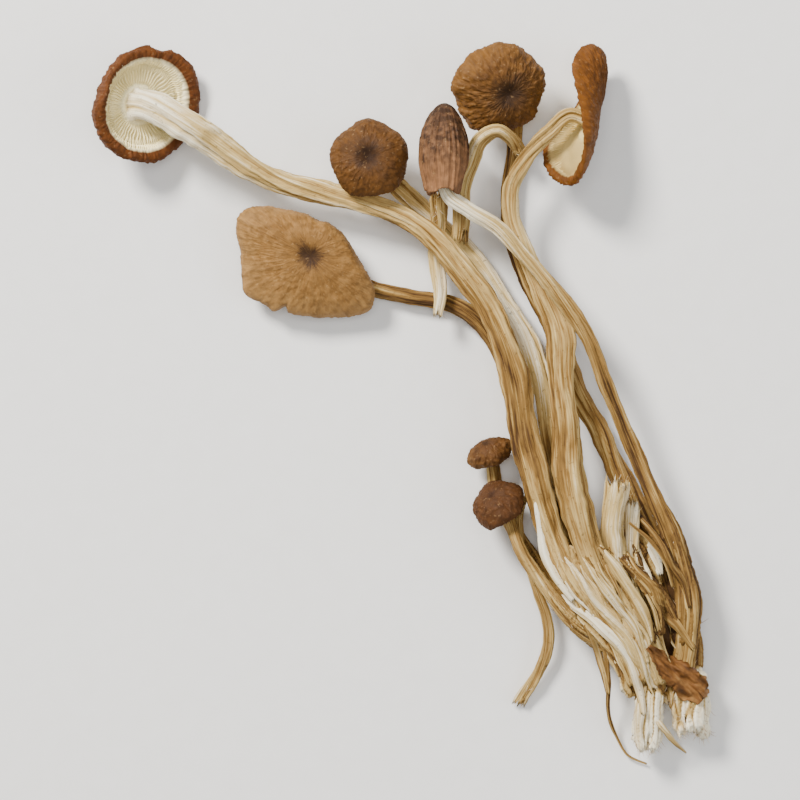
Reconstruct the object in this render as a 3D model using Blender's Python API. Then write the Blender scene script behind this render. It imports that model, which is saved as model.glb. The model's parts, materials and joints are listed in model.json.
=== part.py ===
"""A clump of dried tea tree mushrooms that grew from one foot, lying on its side.

Metres, +Z up, with +Y from the foot to the caps. The origin is under the middle of the
clump, on the surface that it lies on. Eight mushrooms stand in a fused, frayed foot with
two stems that have lost their caps, and three torn pieces of stem cling to the others.
"""

import math
from dataclasses import dataclass

import bmesh
import bpy
import numpy as np
from mathutils import Vector

MM = 0.001

# Every size below is in millimetres, in a drawing whose +Y runs from foot to caps.
MIDDLE = (-8.68, 61.7)  # plan point of the drawing that becomes the origin
FOOT_TOP = 24.0  # the stems are fused below this Y and free above it
GAP = 0.3  # between pieces that meet face to face

STEM_SIDES = 10
STEM_STEP = 4.2  # between the rings of a stem
TORN_STEP = 2.6  # between the rings of a torn piece
RIDGES = (3, 5)  # lengthwise folds that drying leaves around a stem
RIDGE_HEIGHTS = (0.08, 0.05)  # as shares of the stem's half width
TWIST = 0.02  # turn of the folds along a stem, radians a millimetre
NECK = 3.5  # straight run of a stem into its cap

# A cap's half profile, from the middle of its top round the rolled margin to the middle
# of its underside: share of the radius, then share of the thickness.
CAP_TOP = ((0.22, 0.99), (0.45, 0.93), (0.67, 0.79), (0.86, 0.50), (0.97, 0.10))
CAP_MARGIN = ((1.0, -0.28), (0.95, -0.52), (0.85, -0.42))
CAP_UNDER = ((0.72, -0.08), (0.40, 0.0))
DIMPLE_REACH = 0.20  # share of the radius that the sunken middle covers


@dataclass
class Cap:
    """One cap. The stem meets its underside at centre, and its top looks along faces."""

    centre: tuple
    faces: tuple
    radius: float
    thick: float
    droop: float = 0.2  # hang of the margin, as a share of the radius
    closed: float = 0.0  # share of the radius that the margin is drawn in by
    wall: float = 0.0  # share of the radius that the inside of a bell lies further in
    dimple: float = 0.5  # depth of the sunken middle
    lobes: tuple = ((3, 0.04, 0.0),)  # counts, heights as shares of the radius, turns
    wave: tuple = (4, 0.4, 0.0)  # count, rise and fall of the margin, turn
    crease: tuple = (0.0, 1.0, 0.0)  # direction that the cap is long or folded along
    narrow: float = 1.0  # width across the crease as a share of the length
    fold: float = 0.0  # radius that the cap is bent to about its crease, or 0
    twist: float = 0.0  # turn of the cap about its crease, from the middle to an end
    sides: int = 24
    colour: tuple = (0.26, 0.14, 0.06)


@dataclass
class Stem:
    """One stem. The route runs from inside the foot to the neck below the cap."""

    route: tuple
    widths: tuple  # full widths, evenly spaced along it
    flat: float = 0.8  # thickness as a share of the width
    turn: float = 0.0  # where its folds start, radians
    colour: tuple = (0.52, 0.39, 0.24)


STEMS = {
    "stem_1": Stem(
        (
            (-2.9, 1.2, 6.5),
            (-3.4, 9.4, 8.2),
            (-5.2, 17.7, 9.4),
            (-6.4, 25.0, 9.9),
            (-6.6, 33.3, 10.0),
            (-5.6, 41.2, 10.0),
            (-4.0, 49.4, 10.0),
            (-1.8, 58.0, 9.9),
            (-1.3, 69.5, 9.4),
            (-3.6, 80.2, 8.8),
            (-7.0, 89.5, 8.0),
            (-12.8, 95.4, 7.2),
            (-19.8, 100.8, 7.0),
            (-27.0, 106.8, 7.6),
            (-33.6, 115.5, 9.4),
            (-38.2, 122.0, 11.2),
        ),
        (4.6, 4.4, 4.8, 4.8, 4.2, 3.2, 4.8, 5.0),
        0.76,
        0.4,
    ),
    "stem_2": Stem(
        (
            (5.0, -2.1, 5.0),
            (9.2, 6.0, 6.6),
            (11.9, 15.6, 8.2),
            (12.7, 25.1, 9.2),
            (12.2, 35.7, 9.8),
            (12.1, 45.2, 10.4),
            (12.4, 56.9, 11.3),
            (11.0, 67.7, 12.3),
            (8.0, 76.6, 13.0),
            (5.6, 83.2, 13.6),
            (2.1, 88.2, 13.7),
            (0.0, 92.0, 13.4),
            (0.4, 95.8, 13.2),
        ),
        (4.2, 4.0, 3.6, 3.0, 2.7, 2.8, 2.8, 1.8),
        0.85,
        1.1,
    ),
    "stem_3": Stem(
        (
            (0.8, -0.4, 6.5),
            (0.2, 7.5, 8.6),
            (-0.8, 15.5, 10.2),
            (-1.4, 23.1, 11.2),
            (-1.4, 30.3, 11.8),
            (0.0, 38.4, 11.8),
            (3.0, 47.6, 11.4),
            (6.0, 55.4, 10.6),
            (8.4, 62.4, 9.9),
            (8.6, 69.7, 9.0),
            (8.1, 77.7, 8.1),
            (8.5, 84.4, 8.3),
            (10.6, 89.4, 9.0),
            (14.9, 92.9, 9.8),
            (20.0, 95.5, 9.1),
        ),
        (4.8, 4.6, 5.2, 4.8, 3.8, 2.8, 2.6, 2.3),
        0.78,
        2.0,
    ),
    "stem_4": Stem(
        (
            (-2.7, 5.1, 4.0),
            (-3.1, 13.5, 4.0),
            (-3.0, 21.8, 4.0),
            (-2.6, 29.5, 4.0),
            (-1.7, 36.9, 3.9),
            (-0.1, 44.0, 3.8),
            (1.6, 51.0, 3.7),
            (2.8, 58.1, 3.5),
            (2.8, 65.5, 3.2),
            (1.3, 73.3, 2.9),
            (-1.1, 81.6, 2.7),
            (-3.8, 89.5, 2.8),
            (-6.9, 96.4, 4.0),
        ),
        (3.8, 3.6, 2.8),
        0.85,
        2.6,
    ),
    "stem_5": Stem(
        (
            (-5.4, 8.6, 5.6),
            (-8.1, 13.8, 6.9),
            (-9.8, 18.8, 8.0),
            (-11.6, 24.8, 8.8),
            (-12.8, 31.0, 8.6),
        ),
        (3.0, 2.6, 2.0),
        0.9,
        0.9,
        colour=(0.45, 0.32, 0.18),
    ),
    "stem_6": Stem(
        (
            (6.4, 4.6, 3.6),
            (8.6, 13.4, 3.4),
            (9.7, 22.8, 3.4),
            (9.4, 30.8, 3.4),
            (8.6, 39.0, 3.4),
            (8.0, 47.7, 3.2),
            (7.8, 56.5, 3.0),
            (7.6, 64.4, 2.8),
            (7.2, 72.8, 2.7),
            (7.7, 80.8, 2.5),
            (10.2, 88.5, 2.3),
            (13.9, 94.8, 2.0),
            (16.0, 99.8, 2.0),
            (16.9, 103.6, 3.8),
        ),
        (3.8, 3.6, 3.0),
        0.8,
        0.2,
        colour=(0.45, 0.32, 0.18),
    ),
    "stem_7": Stem(
        (
            (-6.4, 10.0, 4.0),
            (-9.3, 19.4, 3.2),
            (-11.2, 27.1, 2.6),
            (-12.6, 35.1, 2.0),
            (-12.3, 41.4, 1.5),
        ),
        (3.0, 2.2, 1.8),
        0.9,
        1.7,
        colour=(0.45, 0.32, 0.18),
    ),
    "stem_8": Stem(
        (
            (-4.0, 6.6, 2.8),
            (-5.2, 14.8, 2.8),
            (-6.6, 22.6, 2.7),
            (-7.4, 30.7, 2.6),
            (-6.8, 38.7, 2.6),
            (-5.4, 46.1, 2.6),
            (-3.6, 54.2, 2.6),
            (-2.5, 62.2, 2.6),
            (-3.3, 69.4, 2.5),
            (-7.4, 74.8, 2.3),
            (-13.2, 78.4, 2.0),
            (-19.7, 83.7, 2.0),
            (-24.0, 88.6, 2.7),
        ),
        (3.2, 2.8, 2.4),
        0.85,
        0.6,
        colour=(0.45, 0.32, 0.18),
    ),
}

CAPS = {
    "cap_1": Cap(
        (-43.6, 127.8, 7.05),
        (-0.48, 0.31, -0.82),
        10.3,
        3.4,
        droop=0.02,
        dimple=0.3,
        lobes=((1, 0.12, 2.86), (2, 0.05, 0.6)),
        wave=(3, 0.5, 0.9),
        colour=(0.25, 0.12, 0.05),
    ),
    "cap_2": Cap(
        (4.4, 104.4, 12.8),
        (0.40, 0.91, -0.05),
        6.4,
        2.6,
        droop=1.94,
        closed=0.42,
        wall=0.14,
        dimple=0.0,
        lobes=((2, 0.05, 0.8), (3, 0.05, 2.0)),
        colour=(0.22, 0.12, 0.08),
    ),
    "cap_3": Cap(
        (27.8, 94.9, 7.75),
        (0.75, -0.61, -0.12),
        12.6,
        2.0,
        droop=0.18,
        dimple=0.3,
        crease=(0.62, 0.78, 0.0),
        narrow=0.60,
        twist=0.85,
        colour=(0.27, 0.13, 0.05),
    ),
    "cap_4": Cap(
        (-10.3, 103.4, 12.0),
        (-0.01, 0.11, 0.99),
        6.8,
        2.3,
        droop=0.20,
        dimple=0.9,
        lobes=((5, 0.03, 0.3),),
        colour=(0.22, 0.11, 0.045),
    ),
    "cap_5": Cap(
        (-13.3, 40.0, 8.8),
        (-0.13, 0.71, 0.7),
        4.7,
        1.9,
        droop=0.26,
        dimple=0.3,
        sides=18,
        colour=(0.17, 0.08, 0.04),
    ),
    "cap_6": Cap(
        (16.4, 104.6, 10.0),
        (0.07, -0.46, 0.88),
        8.2,
        2.6,
        droop=0.20,
        dimple=0.8,
        lobes=((1, 0.13, -2.8), (5, 0.04, 0.2)),
        wave=(5, 0.5, 0.4),
        colour=(0.23, 0.12, 0.05),
    ),
    "cap_7": Cap(
        (-10.9, 48.4, 4.6),
        (0.03, 0.82, 0.57),
        4.2,
        1.6,
        droop=0.25,
        dimple=0.2,
        crease=(1.0, 0.1, 0.0),
        fold=3.6,
        narrow=0.85,
        sides=18,
        colour=(0.19, 0.09, 0.045),
    ),
    "cap_8": Cap(
        (-26.3, 91.8, 7.4),
        (-0.04, -0.09, 0.99),
        12.9,
        2.2,
        droop=0.12,
        dimple=1.0,
        lobes=((1, 0.28, 0.23), (2, 0.05, -1.49), (4, 0.065, 1.06), (5, 0.02, 1.6)),
        wave=(4, 0.7, 0.2),
        crease=(0.65, -0.76, 0.0),
        narrow=0.66,
        colour=(0.36, 0.22, 0.10),
    ),
}

# Stems whose caps have broken off, from inside the foot to the broken end.
BROKEN = {
    "broken_stem_1": Stem(
        ((0.0, 10.0, 7.0), (1.4, 18.6, 8.6), (3.2, 26.0, 9.4), (7.2, 34.0, 11.0)),
        (3.8, 3.6, 3.8),
        0.8,
        0.5,
        colour=(0.66, 0.56, 0.42),
    ),
    "broken_stem_2": Stem(
        ((3.2, 9.0, 6.0), (4.4, 17.5, 7.0), (5.8, 24.0, 7.2), (8.2, 30.0, 7.4)),
        (3.2, 2.8, 2.8),
        0.8,
        1.4,
        colour=(0.66, 0.56, 0.42),
    ),
}

# Torn pieces that cling to the stems, from end to end.
TORN = {
    "torn_branch": Stem(
        (
            (-1.2, 84.4, 6.0),
            (0.5, 87.6, 6.3),
            (1.8, 90.6, 6.6),
            (3.8, 93.4, 7.0),
            (6.5, 96.0, 8.0),
            (9.2, 98.4, 9.3),
            (12.0, 99.0, 9.8),
            (13.8, 97.2, 8.5),
            (14.8, 94.2, 6.3),
        ),
        (2.8, 2.8, 2.2),
        0.8,
        0.3,
        colour=(0.55, 0.42, 0.25),
    ),
    "torn_stem": Stem(
        (
            (-1.6, 92.8, 8.2),
            (-3.1, 89.3, 6.2),
            (-4.9, 85.7, 5.0),
            (-6.7, 81.0, 4.8),
            (-8.0, 76.7, 5.2),
            (-9.8, 73.6, 6.0),
        ),
        (3.2, 2.6, 1.2),
        0.5,
        0.8,
        colour=(0.55, 0.42, 0.25),
    ),
    "torn_strand": Stem(
        (
            (-8.4, 38.8, 6.7),
            (-10.7, 35.8, 6.0),
            (-12.2, 31.1, 5.2),
            (-12.6, 24.4, 4.8),
            (-13.2, 17.3, 3.8),
            (-15.1, 12.3, 2.8),
            (-19.1, 8.1, 1.8),
            (-22.9, 4.8, 1.2),
        ),
        (1.4, 1.7, 2.2),
        0.6,
        1.2,
        colour=(0.55, 0.42, 0.25),
    ),
}

# The mass between the stems' lower ends, and the foot's torn tips: route and widths.
FOOT_FLAT = 0.66
FOOT_CORE = ((1.4, 26.0, 4.6), (2.2, 13.0, 4.4), (2.6, 3.0, 4.0), (1.4, -5.0, 3.6))
FOOT_WIDTHS = (16.0, 15.0, 8.0)
FOOT_TIPS = (
    (((1.4, 3.3, 6.5), (-2.6, -3.8, 6.2), (-6.3, -11.5, 4.8)), (5.6, 5.0, 4.4)),
    (((5.3, -1.3, 5.4), (3.3, -7.3, 5.0), (1.4, -12.8, 4.2)), (7.0, 6.6, 5.6)),
    (((-1.6, 6.6, 7.4), (-3.8, 2.6, 6.8), (-5.2, -1.3, 6.0)), (3.6, 3.0, 1.8)),
)
TIP_STEP = 3.0
TIP_FLAT = 0.7
VOXEL = 0.9  # size that the foot's joined shapes are fused at
KEPT = 0.30  # share of the fused foot's faces that are kept


def unit(vector):
    vector = np.asarray(vector, float)
    return vector / np.linalg.norm(vector)


def smooth_line(points, step):
    """Points about a step apart on a smooth curve through the given ones, and its slopes."""
    points = np.asarray(points, float)
    knots = np.concatenate([[0], np.cumsum(np.linalg.norm(np.diff(points, axis=0), axis=1))])
    slopes = np.gradient(points, knots, axis=0)
    count = max(4, round(knots[-1] / step) + 1)
    at = np.linspace(0, knots[-1], count)
    span = np.clip(np.searchsorted(knots, at, side="right") - 1, 0, len(points) - 2)
    length = np.diff(knots)[span][:, None]
    t = (at - knots[span])[:, None] / length
    start, end = points[span], points[span + 1]
    leave, arrive = length * slopes[span], length * slopes[span + 1]
    line = (
        (2 * t**3 - 3 * t**2 + 1) * start
        + (t**3 - 2 * t**2 + t) * leave
        + (3 * t**2 - 2 * t**3) * end
        + (t**3 - t**2) * arrive
    )
    slope = (
        (6 * t**2 - 6 * t) * (start - end)
        + (3 * t**2 - 4 * t + 1) * leave
        + (3 * t**2 - 2 * t) * arrive
    )
    return line, slope / np.linalg.norm(slope, axis=1)[:, None]


def sides_along(slopes):
    """Unit vectors up and across at each point, turning as little as the line allows."""
    up = np.array((0.0, 0.0, 1.0))
    ups = []
    for slope in slopes:
        up = unit(up - up.dot(slope) * slope)
        ups.append(up)
    ups = np.array(ups)
    return ups, np.cross(slopes, ups)


def tube(line, widths, flat, turn=0.0):
    """A closed bmesh, in millimetres, of a flattened and folded tube along a line."""
    points, slopes = line
    ups, across = sides_along(slopes)
    along = np.concatenate([[0], np.cumsum(np.linalg.norm(np.diff(points, axis=0), axis=1))])
    half = np.interp(along / along[-1], np.linspace(0, 1, len(widths)), widths) / 2
    angles = np.arange(STEM_SIDES) * math.tau / STEM_SIDES
    mesh = bmesh.new()
    rings = []
    for i, point in enumerate(points):
        reach = np.full(STEM_SIDES, half[i])
        for count, height in zip(RIDGES, RIDGE_HEIGHTS):
            reach += half[i] * height * np.cos(count * (angles + TWIST * along[i] + turn))
        ring = (
            point
            + np.outer(reach * np.cos(angles), across[i])
            + np.outer(reach * np.sin(angles) * flat, ups[i])
        )
        rings.append([mesh.verts.new(corner) for corner in ring])
    for low, high in zip(rings, rings[1:]):
        for k in range(STEM_SIDES):
            after = (k + 1) % STEM_SIDES
            mesh.faces.new((low[k], low[after], high[after], high[k]))
    mesh.faces.new(rings[0][::-1])
    mesh.faces.new(rings[-1])
    bmesh.ops.recalc_face_normals(mesh, faces=mesh.faces)
    return mesh


def cut(mesh, point, outward):
    """Removes what lies beyond a plane, and closes the mesh there with a flat face."""
    plane = bmesh.ops.bisect_plane(
        mesh,
        geom=mesh.verts[:] + mesh.edges[:] + mesh.faces[:],
        plane_co=point,
        plane_no=outward,
        clear_outer=True,
    )
    edges = [part for part in plane["geom_cut"] if isinstance(part, bmesh.types.BMEdge)]
    bmesh.ops.holes_fill(mesh, edges=edges, sides=0)
    bmesh.ops.recalc_face_normals(mesh, faces=mesh.faces)
    return mesh


def material(name, colour, roughness):
    made = bpy.data.materials.new(name)
    made.use_nodes = True
    shader = made.node_tree.nodes["Principled BSDF"]
    shader.inputs["Base Color"].default_value = (*colour, 1.0)
    shader.inputs["Roughness"].default_value = roughness
    shader.inputs["Metallic"].default_value = 0.0
    made.diffuse_color = (*colour, 1.0)
    return made


def place(name, mesh, colour, clump, roughness=0.8):
    """Makes a node of a bmesh that is in the drawing's millimetres."""
    data = bpy.data.meshes.new(name)
    mesh.to_mesh(data)
    mesh.free()
    middle = Vector((*MIDDLE, 0.0))
    for vertex in data.vertices:
        vertex.co = (vertex.co - middle) * MM
    data.shade_smooth()
    data.set_sharp_from_angle(angle=math.radians(50))
    data.materials.append(material(name, colour, roughness))
    node = bpy.data.objects.new(name, data)
    bpy.context.scene.collection.objects.link(node)
    node.parent = clump
    return node


def neck_gap(stem, cap):
    """How far below the middle of a cap its stem ends, to clear the bent underside."""
    bend = (cap.droop + cap.twist / 2) / cap.radius
    if cap.fold:
        bend += 0.5 / cap.fold
    flat_below = CAP_UNDER[-1][0] * cap.radius / (1 - cap.wall)
    return GAP + bend * flat_below * (stem.widths[-1] / 2 + GAP)


def stem_line(stem, cap=None):
    """The middle line of a stem, straight into the cap where it has one."""
    points = list(stem.route)
    if cap:
        faces = unit(cap.faces)
        points += [cap.centre - faces * NECK, cap.centre - faces * neck_gap(stem, cap)]
    return smooth_line(points, STEM_STEP)


def free_stem(stem, cap=None):
    """A stem from the top of the foot to just under its cap, or to its broken end."""
    mesh = tube(stem_line(stem, cap), stem.widths, stem.flat, stem.turn)
    return cut(mesh, (0, FOOT_TOP + GAP, 0), (0, -1, 0))


def cap_axes(cap):
    """Unit vectors across the crease, along it and out of the cap's top."""
    top = unit(cap.faces)
    along = unit(np.array(cap.crease) - np.dot(cap.crease, top) * top)
    return np.cross(along, top), along, top


def cap_point(cap, share, rise, angle, on_top):
    """A point of the cap's skin, in the drawing, from its place on the half profile."""
    reach = cap.radius * share * (1 - cap.closed * share**6)
    for count, height, turn in cap.lobes:
        reach += cap.radius * share**3 * height * math.cos(count * angle + turn)
    if share < 1 and not on_top:
        reach -= cap.radius * share * cap.wall
    across = reach * math.cos(angle) * cap.narrow
    along = reach * math.sin(angle)
    up = rise * cap.thick - cap.droop * cap.radius * share**2
    count, height, turn = cap.wave
    up += height * share**3 * math.cos(count * angle + turn)
    if on_top:
        up -= cap.dimple * math.exp(-((share / DIMPLE_REACH) ** 2))
    if cap.fold:
        bend = across / cap.fold
        across = (cap.fold + up) * math.sin(bend)
        up = (cap.fold + up) * math.cos(bend) - cap.fold
    turn = cap.twist * along / cap.radius
    across, up = (
        across * math.cos(turn) - up * math.sin(turn),
        across * math.sin(turn) + up * math.cos(turn),
    )
    x, y, z = cap_axes(cap)
    return np.array(cap.centre) + across * x + along * y + up * z


def cap_body(cap):
    """A closed bmesh of one cap: rings down its top, round the margin and in below."""
    mesh = bmesh.new()
    profile = [(share, rise, True) for share, rise in CAP_TOP]
    profile += [(share, rise, False) for share, rise in CAP_MARGIN + CAP_UNDER]
    angles = [k * math.tau / cap.sides for k in range(cap.sides)]
    rings = [
        [mesh.verts.new(cap_point(cap, share, rise, angle, on_top)) for angle in angles]
        for share, rise, on_top in profile
    ]
    crown = mesh.verts.new(cap_point(cap, 0, 1, 0, True))
    below = mesh.verts.new(cap_point(cap, 0, 0, 0, False))
    for k in range(cap.sides):
        after = (k + 1) % cap.sides
        mesh.faces.new((crown, rings[0][k], rings[0][after]))
        mesh.faces.new((below, rings[-1][after], rings[-1][k]))
        for high, low in zip(rings, rings[1:]):
            mesh.faces.new((high[k], low[k], low[after], high[after]))
    bmesh.ops.recalc_face_normals(mesh, faces=mesh.faces)
    return mesh


def add_to(whole, mesh):
    """Adds a bmesh's shape to another one, and frees it."""
    data = bpy.data.meshes.new("loose")
    mesh.to_mesh(data)
    mesh.free()
    whole.from_mesh(data)
    bpy.data.meshes.remove(data)


def fused(mesh):
    """One closed skin round overlapping bodies, with few faces."""
    data = bpy.data.meshes.new("loose")
    mesh.to_mesh(data)
    mesh.free()
    helper = bpy.data.objects.new("loose", data)
    bpy.context.scene.collection.objects.link(helper)
    remesh = helper.modifiers.new("fuse", "REMESH")
    remesh.mode = "VOXEL"
    remesh.voxel_size = VOXEL
    fewer = helper.modifiers.new("fewer", "DECIMATE")
    fewer.ratio = KEPT
    evaluated = helper.evaluated_get(bpy.context.evaluated_depsgraph_get())
    skin = bmesh.new()
    skin.from_mesh(evaluated.to_mesh())
    evaluated.to_mesh_clear()
    bpy.data.objects.remove(helper)
    bpy.data.meshes.remove(data)
    return skin


def foot_body():
    """The fused foot: the stems' lower ends, the mass between them and its torn tips."""
    whole = bmesh.new()
    for name, stem in {**STEMS, **BROKEN}.items():
        line = stem_line(stem, CAPS.get(name.replace("stem", "cap")))
        lower = tube(line, stem.widths, stem.flat, stem.turn)
        add_to(whole, cut(lower, (0, FOOT_TOP + 2 * VOXEL, 0), (0, 1, 0)))
    add_to(whole, tube(smooth_line(FOOT_CORE, STEM_STEP), FOOT_WIDTHS, FOOT_FLAT))
    for route, widths in FOOT_TIPS:
        add_to(whole, tube(smooth_line(route, TIP_STEP), widths, TIP_FLAT))
    skin = cut(fused(whole), (0, FOOT_TOP, 0), (0, 1, 0))
    return cut(skin, (0, 0, 0), (0, 0, -1))


def build():
    for old in list(bpy.data.objects):
        bpy.data.objects.remove(old, do_unlink=True)
    clump = bpy.data.objects.new("clump", None)
    bpy.context.scene.collection.objects.link(clump)
    for name, stem in STEMS.items():
        cap_name = name.replace("stem", "cap")
        cap = CAPS[cap_name]
        place(name, free_stem(stem, cap), stem.colour, clump)
        place(cap_name, cap_body(cap), cap.colour, clump)
    for name, stem in BROKEN.items():
        place(name, free_stem(stem), stem.colour, clump)
    for name, stem in TORN.items():
        line = smooth_line(stem.route, TORN_STEP)
        place(name, tube(line, stem.widths, stem.flat, stem.turn), stem.colour, clump)
    place("foot", foot_body(), (0.64, 0.54, 0.40), clump, roughness=0.9)


build()
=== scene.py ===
"""A clump of dried tea tree mushrooms, lying on a pale floor and seen from above.

Lengths are in millimetres, in the drawing that the clump was laid out in. Its +Y runs from
the foot to the caps. They become metres in the frame as each mesh is made.
"""

import json
import math

import bpy
import numpy as np
from mathutils import Matrix, Vector
from mathutils.bvhtree import BVHTree

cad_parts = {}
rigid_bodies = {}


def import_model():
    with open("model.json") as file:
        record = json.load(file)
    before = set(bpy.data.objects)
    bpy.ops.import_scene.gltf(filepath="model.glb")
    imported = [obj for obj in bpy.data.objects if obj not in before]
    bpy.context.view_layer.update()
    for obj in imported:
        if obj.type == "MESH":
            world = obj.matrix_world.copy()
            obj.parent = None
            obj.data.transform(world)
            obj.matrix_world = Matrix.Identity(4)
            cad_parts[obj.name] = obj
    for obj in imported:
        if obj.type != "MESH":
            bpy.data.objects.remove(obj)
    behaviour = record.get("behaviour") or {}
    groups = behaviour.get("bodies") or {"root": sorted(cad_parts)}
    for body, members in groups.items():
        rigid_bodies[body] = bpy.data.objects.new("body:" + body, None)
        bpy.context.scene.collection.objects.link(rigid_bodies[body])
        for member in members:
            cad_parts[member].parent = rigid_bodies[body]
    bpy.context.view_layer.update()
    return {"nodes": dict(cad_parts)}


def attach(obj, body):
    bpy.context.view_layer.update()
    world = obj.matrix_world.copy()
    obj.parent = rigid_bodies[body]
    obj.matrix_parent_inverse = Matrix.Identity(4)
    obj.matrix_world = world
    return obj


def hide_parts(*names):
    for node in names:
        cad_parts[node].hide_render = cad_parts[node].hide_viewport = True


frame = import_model()
scene = bpy.context.scene

# The view. The clump lies on its side, and the camera looks straight down on it, turned as
# in the photograph: the upturned cap is at the upper left, the frayed foot at the lower right.
PICTURE_UP = Vector((0.3907, 0.9205, 0.0)).normalized()
PICTURE_RIGHT = Vector((PICTURE_UP.y, -PICTURE_UP.x, 0.0))
LENS = 160.0
FILLED = 0.88  # share of the picture that the clump takes up

corners = np.concatenate([[v.co for v in o.data.vertices] for o in frame["nodes"].values()])
spans = []
for direction in (PICTURE_RIGHT, PICTURE_UP):
    reach = corners @ np.array(direction)
    spans.append((reach.min(), reach.max()))
(left, rightmost), (bottom, top) = spans
aim = PICTURE_RIGHT * (left + rightmost) / 2 + PICTURE_UP * (bottom + top) / 2
picture_side = max(rightmost - left, top - bottom) / FILLED

camera_data = bpy.data.cameras.new("camera")
camera_data.lens = LENS
camera_data.clip_start = 0.01
camera_data.clip_end = 20.0
camera = bpy.data.objects.new("camera", camera_data)
scene.collection.objects.link(camera)
scene.camera = camera
distance = picture_side / 2 / math.tan(camera_data.angle / 2)
turn = Matrix((PICTURE_RIGHT, PICTURE_UP, Vector((0, 0, 1)))).transposed()
camera.matrix_world = Matrix.Translation(aim + Vector((0, 0, distance))) @ turn.to_4x4()


# The light. The main soft light stands at the upper left of the picture, a weaker one fills
# in from the right, and a third lights the caps from straight above.
def soft_light(name, place, power, side, colour):
    data = bpy.data.lights.new(name, "AREA")
    data.shape = "DISK"
    data.size = side
    data.energy = power
    data.color = colour
    lamp = bpy.data.objects.new(name, data)
    scene.collection.objects.link(lamp)
    lamp.location = place
    lamp.rotation_euler = (aim - Vector(place)).to_track_quat("-Z", "Y").to_euler()


def beside(right, up, high):
    return aim + PICTURE_RIGHT * right + PICTURE_UP * up + Vector((0, 0, high))


soft_light("key", beside(-0.42, 0.50, 0.62), 16.4, 0.26, (1.0, 0.965, 0.91))
soft_light("fill", beside(0.60, -0.10, 0.50), 2.2, 0.60, (0.93, 0.96, 1.0))
soft_light("overhead", beside(0.0, 0.05, 0.95), 3.4, 0.50, (1.0, 0.99, 0.97))

world = bpy.data.worlds.new("room")
scene.world = world
world.use_nodes = True
room = world.node_tree.nodes["Background"]
room.inputs["Color"].default_value = (0.93, 0.94, 0.95, 1.0)
room.inputs["Strength"].default_value = 0.38


# The floor. A plain sheet of off-white card, with the faint mottling of its pulp.
def add(tree, kind, inputs=(), **settings):
    """A node with its settings, and its inputs set to a value or linked to another node."""
    node = tree.nodes.new(kind)
    for key, value in settings.items():
        setattr(node, key, value)
    for key, value in dict(inputs).items():
        if isinstance(value, bpy.types.NodeSocket):
            tree.links.new(value, node.inputs[key])
        else:
            node.inputs[key].default_value = value
    return node


def maths(tree, operation, *values, clamp=False):
    """The result of a Math node on numbers or sockets."""
    inputs = dict(enumerate(values))
    return add(tree, "ShaderNodeMath", inputs, operation=operation, use_clamp=clamp).outputs[0]


def linear(*rgb):
    """A colour read off in the photograph's own 0 to 255, as linear light."""
    share = np.array(rgb) / 255
    low = share / 12.92
    return (*np.where(share > 0.04045, ((share + 0.055) / 1.055) ** 2.4, low).tolist(), 1.0)


def new_material(name, roughness, level):
    """A material with a dull shader, and its tree of nodes."""
    material = bpy.data.materials.new(name)
    material.use_nodes = True
    tree = material.node_tree
    shader = tree.nodes["Principled BSDF"]
    shader.inputs["Roughness"].default_value = roughness
    shader.inputs["Specular IOR Level"].default_value = level
    return material, tree


def noise(tree, where, scale, detail, rough=0.5):
    """A soft random pattern of 0 to 1."""
    inputs = {"Vector": where, "Scale": scale, "Detail": detail, "Roughness": rough}
    return add(tree, "ShaderNodeTexNoise", inputs).outputs[0]


def mixed(tree, factor, first, second):
    """A colour between two others."""
    inputs = {0: factor, 6: first, 7: second}
    return add(tree, "ShaderNodeMix", inputs, data_type="RGBA", clamp_factor=True).outputs[2]


def surfaced(tree, colour, dull=None, height=None, **relief):
    """Gives a material its colour and, where they vary, its dullness and fine relief."""
    shader = tree.nodes["Principled BSDF"]
    tree.links.new(colour, shader.inputs["Base Color"])
    if dull is not None:
        tree.links.new(dull, shader.inputs["Roughness"])
    if height is not None:
        bump = add(tree, "ShaderNodeBump", {"Height": height} | relief)
        tree.links.new(bump.outputs[0], shader.inputs["Normal"])


card, tree = new_material("floor card", 0.8, 0.35)
place = add(tree, "ShaderNodeTexCoord").outputs["Object"]
pulp = noise(tree, place, 260.0, 4.0)
shade = mixed(tree, pulp, (0.84, 0.83, 0.81, 1), (0.89, 0.885, 0.87, 1))
surfaced(tree, shade, height=pulp, Strength=0.05)

FLOOR_SIDE = 6.0
floor_mesh = bpy.data.meshes.new("floor")
edge = FLOOR_SIDE / 2
rim = [(-edge, -edge, 0), (edge, -edge, 0), (edge, edge, 0), (-edge, edge, 0)]
floor_mesh.from_pydata(rim, [], [(0, 1, 2, 3)])
floor_mesh.materials.append(card)
floor = bpy.data.objects.new("floor", floor_mesh)
scene.collection.objects.link(floor)


# The stems. Each is a solid fibrous stalk that shrank as it dried, so that its skin fell
# into lengthwise folds. It is cream on the ridges and brown in the grooves, partly in its own
# colour and partly as painted highlight on the ridges and painted shade in the grooves, and it
# grows out of the foot at one end and into the underside of its cap at the other.
MM = 0.001
MIDDLE = np.array((-8.68, 61.7, 0.0))  # plan point of the drawing that is the frame's origin
AROUND = 60  # points round a stem
RING_STEP = 0.5
RIDGES = ((3, 0.08), (5, 0.05))  # low ridges along a stalk: how many, and share of its width
TWIST = 0.02  # how far they turn in a millimetre
NECK = 3.5  # straight length below a cap
FLARE = 0.30  # how much a neck widens into its cap, and over what length
FLARE_LENGTH = 3.0
# how far a stalk rises, sways, swells, flattens and turns, each with the length of its bends
UNEVEN = ((0.25, 7), (0.35, 9), (0.13, 8), (0.20, 12), (0.7, 30))
GRAIN_DRAWN = 0.035  # the grain's scale along a stalk, against that round it
GRAIN_APART = 7.3  # so that no two stalks have one grain
TORN_LENGTH = 5.0
HOLLOW = ((0.45, 1.4), (0.75, 0.7))  # rings inside a torn end: share of its width, and depth

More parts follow.
